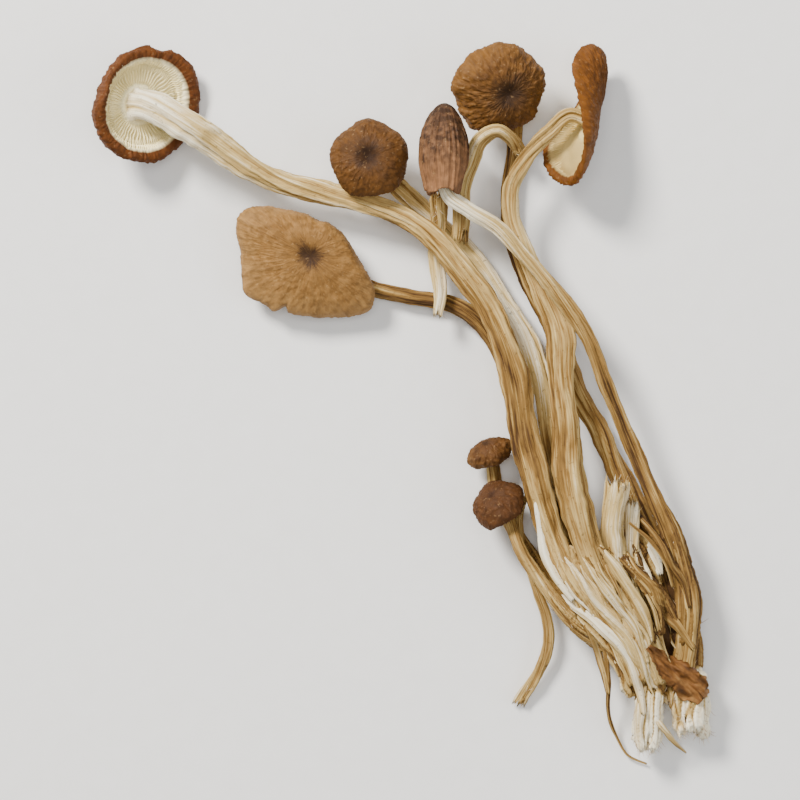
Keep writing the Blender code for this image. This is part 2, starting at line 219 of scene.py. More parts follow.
STEMS = {
    # route from the foot to the neck, full widths, thickness share, turn, paleness along it
    "stem_1": dict(
        route=(
            (-2.9, 1.2, 6.5), (-3.4, 9.4, 8.2), (-5.2, 17.7, 9.4), (-6.4, 25.0, 9.9),
            (-6.6, 33.3, 10.0), (-5.6, 41.2, 10.0), (-4.0, 49.4, 10.0), (-1.8, 58.0, 9.9),
            (-1.3, 69.5, 9.4), (-3.6, 80.2, 8.8), (-7.0, 89.5, 8.0), (-12.8, 95.4, 7.2),
            (-19.8, 100.8, 7.0), (-27.0, 106.8, 7.6), (-33.6, 115.5, 9.4), (-38.2, 122.0, 11.2),
        ),
        widths=(4.6, 4.4, 4.8, 4.8, 4.2, 3.2, 4.8, 5.0),
        flat=0.76, turn=0.4, pale=(1.0, 0.7, 0.25, 0.3, 0.5, 0.6, 0.9, 1.3),
    ),
    "stem_2": dict(
        route=(
            (5.0, -2.1, 5.0), (9.2, 6.0, 6.6), (11.9, 15.6, 8.2), (12.7, 25.1, 9.2),
            (12.2, 35.7, 9.8), (12.1, 45.2, 10.4), (12.4, 56.9, 11.3), (11.0, 67.7, 12.3),
            (8.0, 76.6, 13.0), (5.6, 83.2, 13.6), (2.1, 88.2, 13.7), (0.0, 92.0, 13.4),
            (0.4, 95.8, 13.2),
        ),
        widths=(4.2, 4.0, 3.4, 2.8, 2.4, 2.3, 2.1, 1.6),
        flat=0.85, turn=1.1, pale=(0.6, 0.3, 0.2, 0.25, 0.4, 0.8, 1.2, 1.3),
    ),
    "stem_3": dict(
        route=(
            (0.8, -0.4, 6.5), (0.2, 7.5, 8.6), (-0.8, 15.5, 10.2), (-1.4, 23.1, 11.2),
            (-1.4, 30.3, 11.8), (0.0, 38.4, 11.8), (3.0, 47.6, 11.4), (6.0, 55.4, 10.6),
            (8.4, 62.4, 9.9), (8.6, 69.7, 9.0), (8.1, 77.7, 8.1), (8.5, 84.4, 8.3),
            (10.6, 89.4, 9.0), (14.9, 92.9, 9.8), (20.0, 95.5, 9.1),
        ),
        widths=(4.8, 4.6, 5.2, 4.8, 3.8, 2.8, 2.6, 2.3),
        flat=0.78, turn=2.0, pale=(0.8, 0.7, 0.4, 0.3, 0.45, 0.6, 0.55, 0.8),
    ),
    "stem_4": dict(
        route=(
            (-2.7, 5.1, 4.0), (-3.1, 13.5, 4.0), (-3.0, 21.8, 4.0), (-2.6, 29.5, 4.0),
            (-1.7, 36.9, 3.9), (-0.1, 44.0, 3.8), (1.6, 51.0, 3.7), (2.8, 58.1, 3.5),
            (2.8, 65.5, 3.2), (1.3, 73.3, 2.9), (-1.1, 81.6, 2.7), (-3.8, 89.5, 2.8),
            (-6.9, 96.4, 4.0),
        ),
        widths=(3.8, 3.6, 2.8),
        flat=0.85, turn=2.6, pale=(0.4, 0.3, 0.4, 1.1, 0.9, 0.4),
    ),
    "stem_5": dict(
        route=(
            (-5.4, 8.6, 5.6), (-8.1, 13.8, 6.9), (-9.8, 18.8, 8.0), (-11.6, 24.8, 8.8),
            (-12.8, 31.0, 8.6),
        ),
        widths=(3.0, 2.6, 2.0),
        flat=0.9, turn=0.9, pale=(0.6, 0.4, 0.4),
    ),
    "stem_6": dict(
        route=(
            (6.4, 4.6, 3.6), (8.6, 13.4, 3.4), (9.7, 22.8, 3.4), (9.4, 30.8, 3.4),
            (8.6, 39.0, 3.4), (8.0, 47.7, 3.2), (7.8, 56.5, 3.0), (7.6, 64.4, 2.8),
            (7.2, 72.8, 2.7), (7.7, 80.8, 2.5), (10.2, 88.5, 2.3), (13.9, 94.8, 2.0),
            (16.0, 99.8, 2.0), (16.9, 103.6, 3.8),
        ),
        widths=(3.8, 3.6, 3.0),
        flat=0.8, turn=0.2, pale=(0.3, 0.15, 0.2, 0.3),
    ),
    "stem_7": dict(
        route=(
            (-6.4, 10.0, 4.0), (-9.3, 19.4, 3.2), (-11.2, 27.1, 2.6), (-12.6, 35.1, 2.0),
            (-12.3, 41.4, 1.5),
        ),
        widths=(3.0, 2.2, 1.8),
        flat=0.9, turn=1.7, pale=(0.4, 0.3, 0.3),
    ),
    "stem_8": dict(
        route=(
            (-4.0, 6.6, 2.8), (-5.2, 14.8, 2.8), (-6.6, 22.6, 2.7), (-7.4, 30.7, 2.6),
            (-6.8, 38.7, 2.6), (-5.4, 46.1, 2.6), (-3.6, 54.2, 2.6), (-2.5, 62.2, 2.6),
            (-3.3, 69.4, 2.5), (-7.4, 74.8, 2.3), (-13.2, 78.4, 2.0), (-19.7, 83.7, 2.0),
            (-24.0, 88.6, 2.7),
        ),
        widths=(3.2, 2.8, 2.4),
        flat=0.85, turn=0.6, pale=(0.4, 0.25, 0.15, 0.1),
    ),
}

# Where each stem meets its cap: the middle of the cap's underside, and the way its top faces.
CAP_SEATS = {
    "cap_1": ((-43.6, 127.8, 7.05), (-0.48, 0.31, -0.82)),
    "cap_2": ((4.4, 104.4, 12.8), (0.40, 0.91, -0.05)),
    "cap_3": ((27.8, 94.9, 7.75), (0.75, -0.61, -0.12)),
    "cap_4": ((-10.3, 103.4, 12.0), (-0.01, 0.11, 0.99)),
    "cap_5": ((-13.3, 40.0, 8.8), (-0.13, 0.71, 0.7)),
    "cap_6": ((16.4, 104.6, 10.0), (0.07, -0.46, 0.88)),
    "cap_7": ((-10.9, 48.4, 4.6), (0.03, 0.82, 0.57)),
    "cap_8": ((-26.3, 91.8, 7.4), (-0.04, -0.09, 0.99)),
}


def unit(arrows):
    arrows = np.asarray(arrows, float)
    return arrows / np.linalg.norm(arrows, axis=-1, keepdims=True)


def smooth_line(points, step):
    """Points about a step apart on a smooth curve through the given ones, and its slopes."""
    points = np.asarray(points, float)
    knots = np.concatenate([[0], np.cumsum(np.linalg.norm(np.diff(points, axis=0), axis=1))])
    slopes = np.gradient(points, knots, axis=0)
    at = np.linspace(0, knots[-1], max(4, round(knots[-1] / step) + 1))
    span = np.clip(np.searchsorted(knots, at, side="right") - 1, 0, len(points) - 2)
    length = np.diff(knots)[span][:, None]
    t = (at - knots[span])[:, None] / length
    start, end = points[span], points[span + 1]
    leave, arrive = length * slopes[span], length * slopes[span + 1]
    line = (
        (2 * t**3 - 3 * t**2 + 1) * start
        + (t**3 - 2 * t**2 + t) * leave
        + (3 * t**2 - 2 * t**3) * end
        + (t**3 - t**2) * arrive
    )
    slope = (
        (6 * t**2 - 6 * t) * (start - end)
        + (3 * t**2 - 4 * t + 1) * leave
        + (3 * t**2 - 2 * t) * arrive
    )
    return line, unit(slope)


def spread(values, share):
    """A list of values read off at shares of its length, smoothly."""
    at = np.linspace(0, 1, len(values))
    fine = np.linspace(0, 1, 200)
    smooth = np.interp(fine, at, values)
    kernel = np.hanning(41)
    smooth = np.convolve(np.pad(smooth, 20, mode="edge"), kernel / kernel.sum(), "valid")
    return np.interp(share, fine, smooth)


def wander(count, step, feature, seed):
    """A slow random walk about 0, for bends and swellings, with bumps about a feature long."""
    rng = np.random.default_rng(seed)
    knots = max(4, int(count * step / feature) + 3)
    rough = rng.uniform(-1, 1, knots)
    at = np.linspace(0, knots - 1, count)
    low = np.clip(at.astype(int), 0, knots - 2)
    t = at - low
    t = t * t * (3 - 2 * t)
    return rough[low] * (1 - t) + rough[low + 1] * t


def sides_along(slopes):
    """Unit vectors up and across at each point, turning as little as the line allows."""
    up = np.array((0.0, 0.0, 1.0))
    ups = []
    for slope in slopes:
        up = unit(up - up.dot(slope) * slope)
        ups.append(up)
    ups = np.array(ups)
    return ups, np.cross(slopes, ups)


def piece_of(name, points, faces, attributes):
    """A piece in the frame, in metres, from points in the drawing and values per point."""
    data = bpy.data.meshes.new(name)
    data.from_pydata(((points - MIDDLE) * MM).tolist(), [], faces)
    for key, values in attributes.items():
        values = np.asarray(values, np.float32)
        kind = "FLOAT_VECTOR" if values.ndim == 2 else "FLOAT"
        field = "vector" if values.ndim == 2 else "value"
        data.attributes.new(key, kind, "POINT").data.foreach_set(field, values.ravel())
    piece = bpy.data.objects.new(name, data)
    scene.collection.objects.link(piece)
    return piece


def ring_points(middle, across, ups, reach, flat, angles):
    """Rings of points about those of a line, some reach wide and flattened across it."""
    sideways = (reach * np.cos(angles))[..., None] * across[:, None, :]
    upwards = (reach * np.sin(angles) * flat[:, None])[..., None] * ups[:, None, :]
    return (middle[:, None, :] + sideways + upwards).reshape(-1, 3)


def ring_faces(rings, around):
    """Faces of a tube of rings, its ends left open, that look outwards."""
    low = np.arange((rings - 1) * around).reshape(-1, around)
    after = np.roll(low, -1, axis=1)
    quads = np.stack([low, low + around, after + around, after], axis=-1)
    return quads.reshape(-1, 4).tolist()


def tube_faces(rings, around):
    """Faces of a tube whose ends are closed onto the two points that follow its rings."""
    faces = ring_faces(rings, around)
    middle = rings * around
    for first, point, turn in ((0, middle, -1), (middle - around, middle + 1, 1)):
        ring = first + np.arange(around)
        pairs = zip(ring.tolist(), np.roll(ring, -1).tolist())
        faces += [(a, point, b)[::turn] for a, b in pairs]
    return faces


def with_ends(columns):
    """Values for each point of a tube and, after them, for the two points that close it."""
    return {key: np.concatenate([v, v[:1], v[-1:]]) for key, v in columns.items()}


def weathered(line, half, flat, turn, seed):
    """The way of a stalk: its line, sides and widths, with small bends, swellings and turns."""
    points, slopes = line
    count = len(points)
    step = np.linalg.norm(points[1] - points[0])
    rise, sway, swell, press, lean = (
        much * wander(count, step, length, seed + i) for i, (much, length) in enumerate(UNEVEN)
    )
    ups, across = sides_along(slopes)
    along = np.arange(count) * step
    points = points + ups * rise[:, None] + across * sway[:, None]
    sides = dict(points=points, slopes=slopes, ups=ups, across=across, along=along)
    return sides | dict(
        half=half * (1 + swell), flat=flat * (1 + press), lean=turn + TWIST * along + lean,
        turn=turn, seed=seed,
    )


def grain_of(theta, along, narrow, seed):
    """Where a skin point lies in the grain: round the stalk, and much more slowly along it."""
    side = np.cos(theta) * narrow + GRAIN_APART * seed
    parts = np.broadcast_arrays(side, np.sin(theta) * narrow, along * GRAIN_DRAWN)
    return np.stack(parts, axis=-1)


def stalk(way, pale, torn_start=False, torn_end=False, around=AROUND):
    """A closed tube: its points, faces and, for each point, what folds and colours need."""
    points, slopes, ups, across = (way[key] for key in ("points", "slopes", "ups", "across"))
    along, half, flat, lean = (way[key] for key in ("along", "half", "flat", "lean"))
    torn = np.zeros(len(points))
    rows = [(i, 1.0, 0.0) for i in range(len(points))]
    if torn_start:
        torn = np.maximum(torn, np.clip(1 - along / TORN_LENGTH, 0, 1))
        rows = [(0, narrow, deep) for narrow, deep in HOLLOW] + rows
    if torn_end:
        torn = np.maximum(torn, np.clip(1 - (along[-1] - along) / TORN_LENGTH, 0, 1))
        rows = rows + [(len(points) - 1, narrow, -deep) for narrow, deep in HOLLOW[::-1]]
    index, narrow, sunk = (np.array(values) for values in zip(*rows))
    angles = np.arange(around) * math.tau / around
    reach = np.ones((len(rows), around))
    phase = angles + (TWIST * along[index] + way["turn"])[:, None]
    for count, height in RIDGES:
        reach = reach + height * np.cos(count * phase)
    reach = reach * (half[index] * narrow)[:, None]
    middle = points[index] + slopes[index] * sunk[:, None]
    skin = ring_points(middle, across[index], ups[index], reach, flat[index], angles)
    theta = angles + lean[index][:, None]
    grain = grain_of(theta, along[index][:, None], narrow[:, None], way["seed"])
    per_row = {
        "size": half[index] * MM,
        "torn": torn[index],
        "pale": spread(pale, along[index] / along[-1]),
        "run": slopes[index],
    }
    columns = {key: np.repeat(values, around, axis=0) for key, values in per_row.items()}
    columns["grain"] = grain.reshape(-1, 3)
    skin = np.concatenate([skin, middle[:1], middle[-1:]])
    return skin, tube_faces(len(rows), around), with_ends(columns)


def merged(parts):
    """The points and faces of several tubes as those of one."""
    faces = []
    first = 0
    for points, own_faces, *_ in parts:
        faces += [[first + corner for corner in face] for face in own_faces]
        first += len(points)
    return np.concatenate([part[0] for part in parts]), faces


def joined(name, parts):
    """One piece of several tubes."""
    points, faces = merged(parts)
    columns = {key: np.concatenate([part[2][key] for part in parts]) for key in parts[0][2]}
    return piece_of(name, points, faces, columns)


def new_tree(name, inputs, gives):
    """An empty tree that makes a shape from named inputs, and those inputs."""
    tree = bpy.data.node_groups.new(name, "GeometryNodeTree")
    tree.is_modifier = True
    for key, kind in inputs.items():
        tree.interface.new_socket(key, in_out="INPUT", socket_type="NodeSocket" + kind)
    tree.interface.new_socket(gives, in_out="OUTPUT", socket_type="NodeSocketGeometry")
    return tree, tree.nodes.new("NodeGroupInput").outputs


def ended(tree, shape, finish):
    """Ends a tree: each copy in the shape becomes real, and gets its material."""
    real = add(tree, "GeometryNodeRealizeInstances", {"Geometry": shape}).outputs[0]
    inputs = {"Geometry": real, "Material": finish}
    done = add(tree, "GeometryNodeSetMaterial", inputs).outputs[0]
    tree.links.new(done, tree.nodes.new("NodeGroupOutput").inputs[0])
    return tree


def carried(tree, name, kind="FLOAT"):
    """What each point of a skin carries under a name."""
    inputs = {"Name": name}
    return add(tree, "GeometryNodeInputNamedAttribute", inputs, data_type=kind).outputs[0]


def vector_maths(tree, operation, first, second):
    """The sum of two vectors or, for SCALE, a vector times a number."""
    inputs = {0: first, (3 if operation == "SCALE" else 1): second}
    return add(tree, "ShaderNodeVectorMath", inputs, operation=operation).outputs[0]


def fold_tree():
    """Sinks drying folds into a skin, along the grain that its points carry."""
    numbers = ("Swell", "Folds", "Fibres", "Count", "Finer", "Lumps", "Tear", "Seed")
    inputs = {"Skin": "Geometry"} | dict.fromkeys(numbers, "Float") | {"Finish": "Material"}
    tree, given = new_tree("drying folds", inputs, "Skin")
    grain = carried(tree, "grain", "FLOAT_VECTOR")
    run = carried(tree, "run", "FLOAT_VECTOR")
    size = carried(tree, "size")

    def centred(value):
        """A pattern of 0 to 1 as one of -1 to 1."""
        return maths(tree, "MULTIPLY_ADD", value, 2.0, -1.0)

    def streaks(finer, detail, later):
        """A pattern that is drawn out along the grain."""
        count = maths(tree, "MULTIPLY", given["Count"], finer)
        w = maths(tree, "ADD", given["Seed"], later)
        inputs = {"Vector": grain, "W": w, "Scale": count, "Detail": detail, "Distortion": 0.25}
        return add(tree, "ShaderNodeTexNoise", inputs, noise_dimensions="4D").outputs[0]

    def ridge(value, steep):
        """1 on the ridges and 0 in the narrow grooves between them."""
        off = maths(tree, "ABSOLUTE", centred(value))
        return maths(tree, "POWER", maths(tree, "MULTIPLY", off, steep, clamp=True), 0.7)

    swell = centred(streaks(0.42, 0.0, 0.0))
    folds = ridge(streaks(1.0, 1.0, 3.1), 4.2)
    fibres = ridge(streaks(given["Finer"], 2.0, 6.7), 4.0)
    spot = add(tree, "GeometryNodeInputPosition").outputs[0]
    dents = centred(noise(tree, spot, 330.0, 2.0))
    lift = maths(tree, "MULTIPLY", swell, given["Swell"])
    for key, high in (("Folds", folds), ("Fibres", fibres)):
        lift = maths(tree, "MULTIPLY_ADD", maths(tree, "SUBTRACT", high, 0.6), given[key], lift)
    lift = maths(tree, "MULTIPLY_ADD", dents, given["Lumps"], lift)
    lift = maths(tree, "MULTIPLY", lift, size)
    ragged = centred(streaks(3.4, 2.0, 9.3))
    ragged = maths(tree, "MULTIPLY", ragged, maths(tree, "POWER", carried(tree, "torn"), 1.6))
    ragged = maths(tree, "MULTIPLY", maths(tree, "MULTIPLY", ragged, given["Tear"]), size)
    out = add(tree, "GeometryNodeInputNormal").outputs[0]
    lifted = vector_maths(tree, "SCALE", out, lift)
    moved = vector_maths(tree, "ADD", lifted, vector_maths(tree, "SCALE", run, ragged))
    skin = add(tree, "GeometryNodeSetPosition", {"Geometry": given["Skin"], "Offset": moved})
    # the fold height, kept as fold, from which the materials paint shade in the grooves and
    # highlight on the ridges
    height = maths(tree, "MULTIPLY", folds, 0.5)
    height = maths(tree, "MULTIPLY_ADD", fibres, 0.35, height)
    height = maths(tree, "MULTIPLY_ADD", swell, 0.3, height, clamp=True)
    inputs = {"Geometry": skin.outputs[0], "Name": "fold", "Value": height}
    kept = add(tree, "GeometryNodeStoreNamedAttribute", inputs, domain="POINT", data_type="FLOAT")
    smooth = add(tree, "GeometryNodeSetShadeSmooth", {"Geometry": kept.outputs[0]})
    return ended(tree, smooth.outputs[0], given["Finish"])


DRYING_FOLDS = fold_tree()


def made_plain(piece, tree, **values):
    """Runs a piece through a tree with these inputs, and keeps what comes out as its mesh."""
    modifier = piece.modifiers.new("made", "NODES")
    modifier.node_group = tree
    for item in tree.interface.items_tree:
        if item.in_out == "INPUT" and item.name in values:
            modifier[item.identifier] = values[item.name]
    graph = bpy.context.evaluated_depsgraph_get()
    done = bpy.data.meshes.new_from_object(piece.evaluated_get(graph), depsgraph=graph)
    piece.modifiers.remove(modifier)
    old = piece.data
    piece.data = done
    bpy.data.meshes.remove(old)
    done.name = piece.name


def between(tree, value, low, high):
    """0 where a value is low, 1 where it is high, and a slope in between."""
    inputs = {"Value": value, "From Min": low, "From Max": high}
    return add(tree, "ShaderNodeMapRange", inputs).outputs[0]


def grain_group():
    """The look of dry fungus flesh close up, as masks: fibres along the grain, patches, specks."""
    group = bpy.data.node_groups.new("dry grain", "ShaderNodeTree")
    for name in ("Fineness", "Length"):
        group.interface.new_socket(name, in_out="INPUT", socket_type="NodeSocketFloat")
    given = group.nodes.new("NodeGroupInput").outputs
    grain = add(group, "ShaderNodeAttribute", attribute_name="grain").outputs["Vector"]
    parts = add(group, "ShaderNodeSeparateXYZ", {0: grain}).outputs
    length = maths(group, "MULTIPLY", parts[2], given["Length"])
    drawn = add(group, "ShaderNodeCombineXYZ", {0: parts[0], 1: parts[1], 2: length}).outputs[0]
    fine = maths(group, "MULTIPLY", given["Fineness"], 9.0)
    place = add(group, "ShaderNodeTexCoord").outputs["Object"]
    masks = {
        "Fibres": between(group, noise(group, drawn, fine, 4.0, 0.6), 0.34, 0.66),
        "Patches": between(group, noise(group, grain, given["Fineness"], 3.0, 0.6), 0.36, 0.64),
        "Specks": between(group, noise(group, place, 1500.0, 2.0, 0.7), 0.62, 0.72),
    }
    for name in masks:
        group.interface.new_socket(name, in_out="OUTPUT", socket_type="NodeSocketFloat")
    end = group.nodes.new("NodeGroupOutput")
    for name, mask in masks.items():
        group.links.new(mask, end.inputs[name])
    return group


DRY_GRAIN = grain_group()


def dry_grain(tree, fineness, length):
    """The masks of dry flesh, in a material: its fibres, patches and specks."""
    inputs = {"Fineness": fineness, "Length": length}
    return add(tree, "ShaderNodeGroup", inputs, node_tree=DRY_GRAIN).outputs


def held(tree, name):
    """What each point of a piece holds under a name, in its material."""
    return add(tree, "ShaderNodeAttribute", attribute_name=name).outputs["Fac"]


def ramp(tree, factor, *stops):
    """A colour from a ramp with stops at (place, colour)."""
    node = add(tree, "ShaderNodeValToRGB", {"Fac": factor})
    band = node.color_ramp
    while len(band.elements) < len(stops):
        band.elements.new(0.5)
    for element, (place, colour) in zip(band.elements, stops):
        element.position = place
        element.color = colour
    return node.outputs["Color"]


def flesh_material(name, groove, tan, cream, white):
    """Dry stem flesh: brown grooves, tan flanks, cream ridges, and white where it is pale. The
    grooves' brown is partly painted shade and the ridges' cream partly painted highlight.
    """
    material, tree = new_material(name, 0.78, 0.2)
    fibres, patches, specks = dry_grain(tree, 1.0, 0.3)
    pale = held(tree, "pale")
    # painted shade and highlight: the fold height darkens the grooves and lightens the ridges,
    # besides the grain's own fibres and patches
    painted_fold_shade_and_tone = maths(tree, "MULTIPLY", held(tree, "fold"), 0.60)
    painted_fold_shade_and_tone = maths(tree, "MULTIPLY_ADD", fibres, 0.36, painted_fold_shade_and_tone)
    painted_fold_shade_and_tone = maths(tree, "MULTIPLY_ADD", patches, 0.32, painted_fold_shade_and_tone)
    even = maths(tree, "MULTIPLY_ADD", maths(tree, "MINIMUM", pale, 1.0), -0.36, 1.0)
    painted_fold_shade_and_tone = maths(tree, "MULTIPLY", painted_fold_shade_and_tone, even)
    painted_fold_shade_and_tone = maths(tree, "ADD", painted_fold_shade_and_tone, maths(tree, "MULTIPLY_ADD", pale, 0.75, -0.47), clamp=True)
    colour = ramp(tree, painted_fold_shade_and_tone, (0.03, groove), (0.32, tan), (0.64, cream), (0.95, white))
    colour = mixed(tree, maths(tree, "MULTIPLY", patches, 0.22), colour, linear(152, 112, 56))
    colour = mixed(tree, maths(tree, "MULTIPLY", specks, 0.5), colour, groove)
    dull = maths(tree, "MULTIPLY_ADD", fibres, -0.16, 0.86)
    surfaced(tree, colour, dull, fibres, Strength=0.45, Distance=0.00012)
    return material


# The groove brown serves the painted shade in the grooves and the specks; cream and white also serve
# the painted highlight on the ridges.
STEM_FLESH = flesh_material(
    "dried stem",
    groove=linear(60, 38, 18),
    tan=linear(130, 97, 46),
    cream=linear(200, 172, 110),
    white=linear(255, 248, 222),
)


def half_widths(widths, count):
    """Half of the full widths along a line, at even steps."""
    return spread(widths, np.linspace(0, 1, count)) / 2


stem_ways = {}
for number, (name, stem) in enumerate(STEMS.items()):
    # it runs from inside the foot into the underside of its cap
    centre, faces = CAP_SEATS[name.replace("stem", "cap")]
    faces = unit(faces)
    line = smooth_line([*stem["route"], centre - faces * NECK, centre + faces * 0.5], RING_STEP)
    count = len(line[0])
    left = (1 - np.linspace(0, 1, count)) * count * RING_STEP
    neck = np.clip(1 - left / FLARE_LENGTH, 0, 1)
    half = half_widths(stem["widths"], count) * (1 + FLARE * neck**2)
    way = weathered(line, half, stem["flat"], stem["turn"], number + 1)
    stem_ways[name] = way
    stalk_piece = joined("dried_" + name, [stalk(way, stem["pale"])])
    made_plain(
        stalk_piece, DRYING_FOLDS, Swell=0.36, Folds=0.27, Fibres=0.07, Count=0.95,
        Finer=3.4, Lumps=0.20, Tear=0.0, Seed=0.0, Finish=STEM_FLESH,
    )
    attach(stalk_piece, "root")
    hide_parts(name)


# Broken and torn stems. Two stems snapped off above the foot, and three pieces tore away from
# their neighbours and cling to them. They are the same flesh, paler where it is torn open,
# and their ends are hollow and ragged.
LOOSE = {
    # node: route, full widths, thickness share, turn, paleness, torn at the start, slot
    "broken_stem_1": dict(
        route=((0.0, 10.0, 7.0), (1.4, 18.6, 8.6), (3.2, 26.0, 9.4), (7.2, 34.0, 11.0)),
        widths=(3.8, 3.6, 3.8), flat=0.8, turn=0.5, pale=(0.6, 0.8, 0.95),
        torn_start=False, slot="broken_stem",
    ),
    "broken_stem_2": dict(
        route=((3.2, 9.0, 6.0), (4.4, 17.5, 7.0), (5.8, 24.0, 7.2), (8.2, 30.0, 7.4)),
        widths=(3.2, 2.8, 2.8), flat=0.8, turn=1.4, pale=(0.6, 0.9, 1.1),
        torn_start=False, slot="broken_stem",
    ),
    "torn_branch": dict(
        route=(
            (-1.2, 84.4, 6.0), (0.5, 87.6, 6.3), (1.8, 90.6, 6.6), (3.8, 93.4, 7.0),
            (6.5, 96.0, 8.0), (9.2, 98.4, 9.3), (12.0, 99.0, 9.8), (13.8, 97.2, 8.5),
            (14.8, 94.2, 6.3),
        ),
        widths=(2.8, 2.8, 2.2), flat=0.8, turn=0.3, pale=(0.5, 0.9, 0.8, 0.6),
        torn_start=True, slot="torn_flesh",
    ),
    "torn_stem": dict(
        route=(
            (-1.6, 92.8, 8.2), (-3.1, 89.3, 6.2), (-4.9, 85.7, 5.0), (-6.7, 81.0, 4.8),
            (-8.0, 76.7, 5.2), (-9.8, 73.6, 6.0),
        ),
        widths=(3.2, 3.0, 1.6), flat=0.5, turn=0.8, pale=(0.4, 0.9, 1.0),
        torn_start=True, slot="torn_flesh",
    ),
    "torn_strand": dict(
        route=(
            (-8.4, 38.8, 6.7), (-10.7, 35.8, 6.0), (-12.2, 31.1, 5.2), (-12.6, 24.4, 4.8),
            (-13.2, 17.3, 3.8), (-15.1, 12.3, 2.8), (-19.1, 8.1, 1.8), (-22.9, 4.8, 1.2),
        ),
        widths=(1.4, 1.7, 2.2), flat=0.6, turn=1.2, pale=(0.5, 0.5, 0.7),
        torn_start=True, slot="torn_flesh",
    ),
}

for number, (name, part) in enumerate(LOOSE.items()):
    line = smooth_line(part["route"], RING_STEP)
    half = half_widths(part["widths"], len(line[0]))
    way = weathered(line, half, part["flat"], part["turn"], 20 + number)
    tube = stalk(way, part["pale"], torn_start=part["torn_start"], torn_end=True)
    loose_piece = joined("dried_" + name, [tube])
    made_plain(
        loose_piece, DRYING_FOLDS, Swell=0.34, Folds=0.24, Fibres=0.12, Count=1.25,
        Finer=2.9, Lumps=0.14, Tear=2.8, Seed=0.0, Finish=STEM_FLESH,
    )
    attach(loose_piece, "root")
    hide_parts(name)


# The caps. Each is a thin disc of flesh under a skin that wrinkled as it shrank: fine
# wrinkles run out from a dark sunken middle to a rolled margin, and below the margin the
# pale flesh carries the gills. No two dried to one shape, from flat discs to a closed bell.

# What a cap has where its own row says nothing else: how its margin droops, closes and waves,
# its lobes (how many, how high, where), the crease that it narrows, folds or twists along, the
# nicks torn in it (where, how wide, how deep), the depth of its wrinkles, and its colours.
CAP_HABIT = dict(
    droop=0.2, closed=0.0, wall=0.0, dimple=0.5, lobes=((3, 0.04, 0.0),), wave=(4, 0.4, 0.0),
    crease=(0.0, 1.0, 0.0), narrow=1.0, fold=0.0, twist=0.0, nicks=(), roll=1.0, bowl=0.3,
    wrinkles=0.20, fine=0.20, lumps=0.35, long=2.4, star=0.3,
    edge=linear(120, 78, 30), skin=linear(98, 60, 20), heart=linear(50, 31, 18),
    gills=linear(190, 158, 112),
)
CAPS = {
    "cap_1": dict(
        radius=10.3, thick=3.4, droop=0.02, dimple=0.3, lobes=((1, 0.12, 2.86), (2, 0.05, 0.6)),
        wave=(3, 0.5, 0.9), nicks=((0.6, 0.25, 0.06), (2.2, 0.18, 0.07)), roll=1.6, bowl=0.0,
        edge=linear(96, 52, 14), skin=linear(84, 44, 12), gills=linear(255, 243, 196),
    ),
    "cap_2": dict(
        radius=6.4, thick=2.6, droop=1.90, closed=0.50, wall=0.19, dimple=0.0, bowl=0.0,
        lobes=((2, 0.05, 0.8), (3, 0.05, 2.0)), wrinkles=0.30, fine=0.12, lumps=0.36,
        long=0.9, star=0.45,
        edge=linear(140, 98, 64), skin=linear(60, 37, 18), heart=linear(44, 28, 18),
    ),
    "cap_3": dict(
        radius=12.6, thick=2.0, droop=0.18, dimple=0.3, crease=(0.62, 0.78, 0.0), narrow=0.60,
        twist=0.85, edge=linear(112, 66, 16), skin=linear(94, 54, 12),
        gills=linear(226, 204, 140),
    ),
    "cap_4": dict(
        radius=6.8, thick=2.3, dimple=0.9, lobes=((5, 0.03, 0.3),), bowl=0.55, star=0.50,
        wrinkles=0.15, fine=0.14,
        edge=linear(100, 64, 24), skin=linear(82, 51, 18), heart=linear(44, 27, 16),
    ),
    "cap_5": dict(
        radius=4.7, thick=1.9, droop=0.26, dimple=0.3, star=0.2, bowl=0.1,
        edge=linear(84, 51, 22), skin=linear(75, 45, 19), heart=linear(58, 33, 16),
    ),
    "cap_6": dict(
        radius=8.2, thick=2.6, dimple=0.8, lobes=((1, 0.13, -2.8), (5, 0.04, 0.2)),
        wave=(5, 0.5, 0.4), wrinkles=0.28, lumps=0.6, bowl=0.6, star=0.5,
        edge=linear(114, 76, 31), skin=linear(92, 59, 23), heart=linear(48, 31, 18),
    ),
    "cap_7": dict(
        radius=4.2, thick=1.6, droop=0.25, dimple=0.2, crease=(1.0, 0.1, 0.0), fold=3.6,
        narrow=0.85, bowl=0.0, star=0.2,
        edge=linear(110, 75, 36), skin=linear(83, 51, 20), heart=linear(58, 36, 17),
    ),
    "cap_8": dict(
        radius=12.9, thick=2.2, droop=0.12, dimple=1.0,
        lobes=((1, 0.28, 0.23), (2, 0.05, -1.49), (4, 0.065, 1.06), (5, 0.02, 1.6)),
        wave=(4, 0.7, 0.2), crease=(0.65, -0.76, 0.0), narrow=0.66,
        nicks=((5.88, 0.14, -0.12), (6.19, 0.05, -0.06), (6.28, 0.04, 0.13), (3.3, 0.10, 0.06)),
        wrinkles=0.10, fine=0.12, lumps=0.30, star=0.28,
        edge=linear(149, 112, 64), skin=linear(129, 91, 44), heart=linear(42, 25, 18),
    ),
}
CAPS = {name: CAP_HABIT | own for name, own in CAPS.items()}

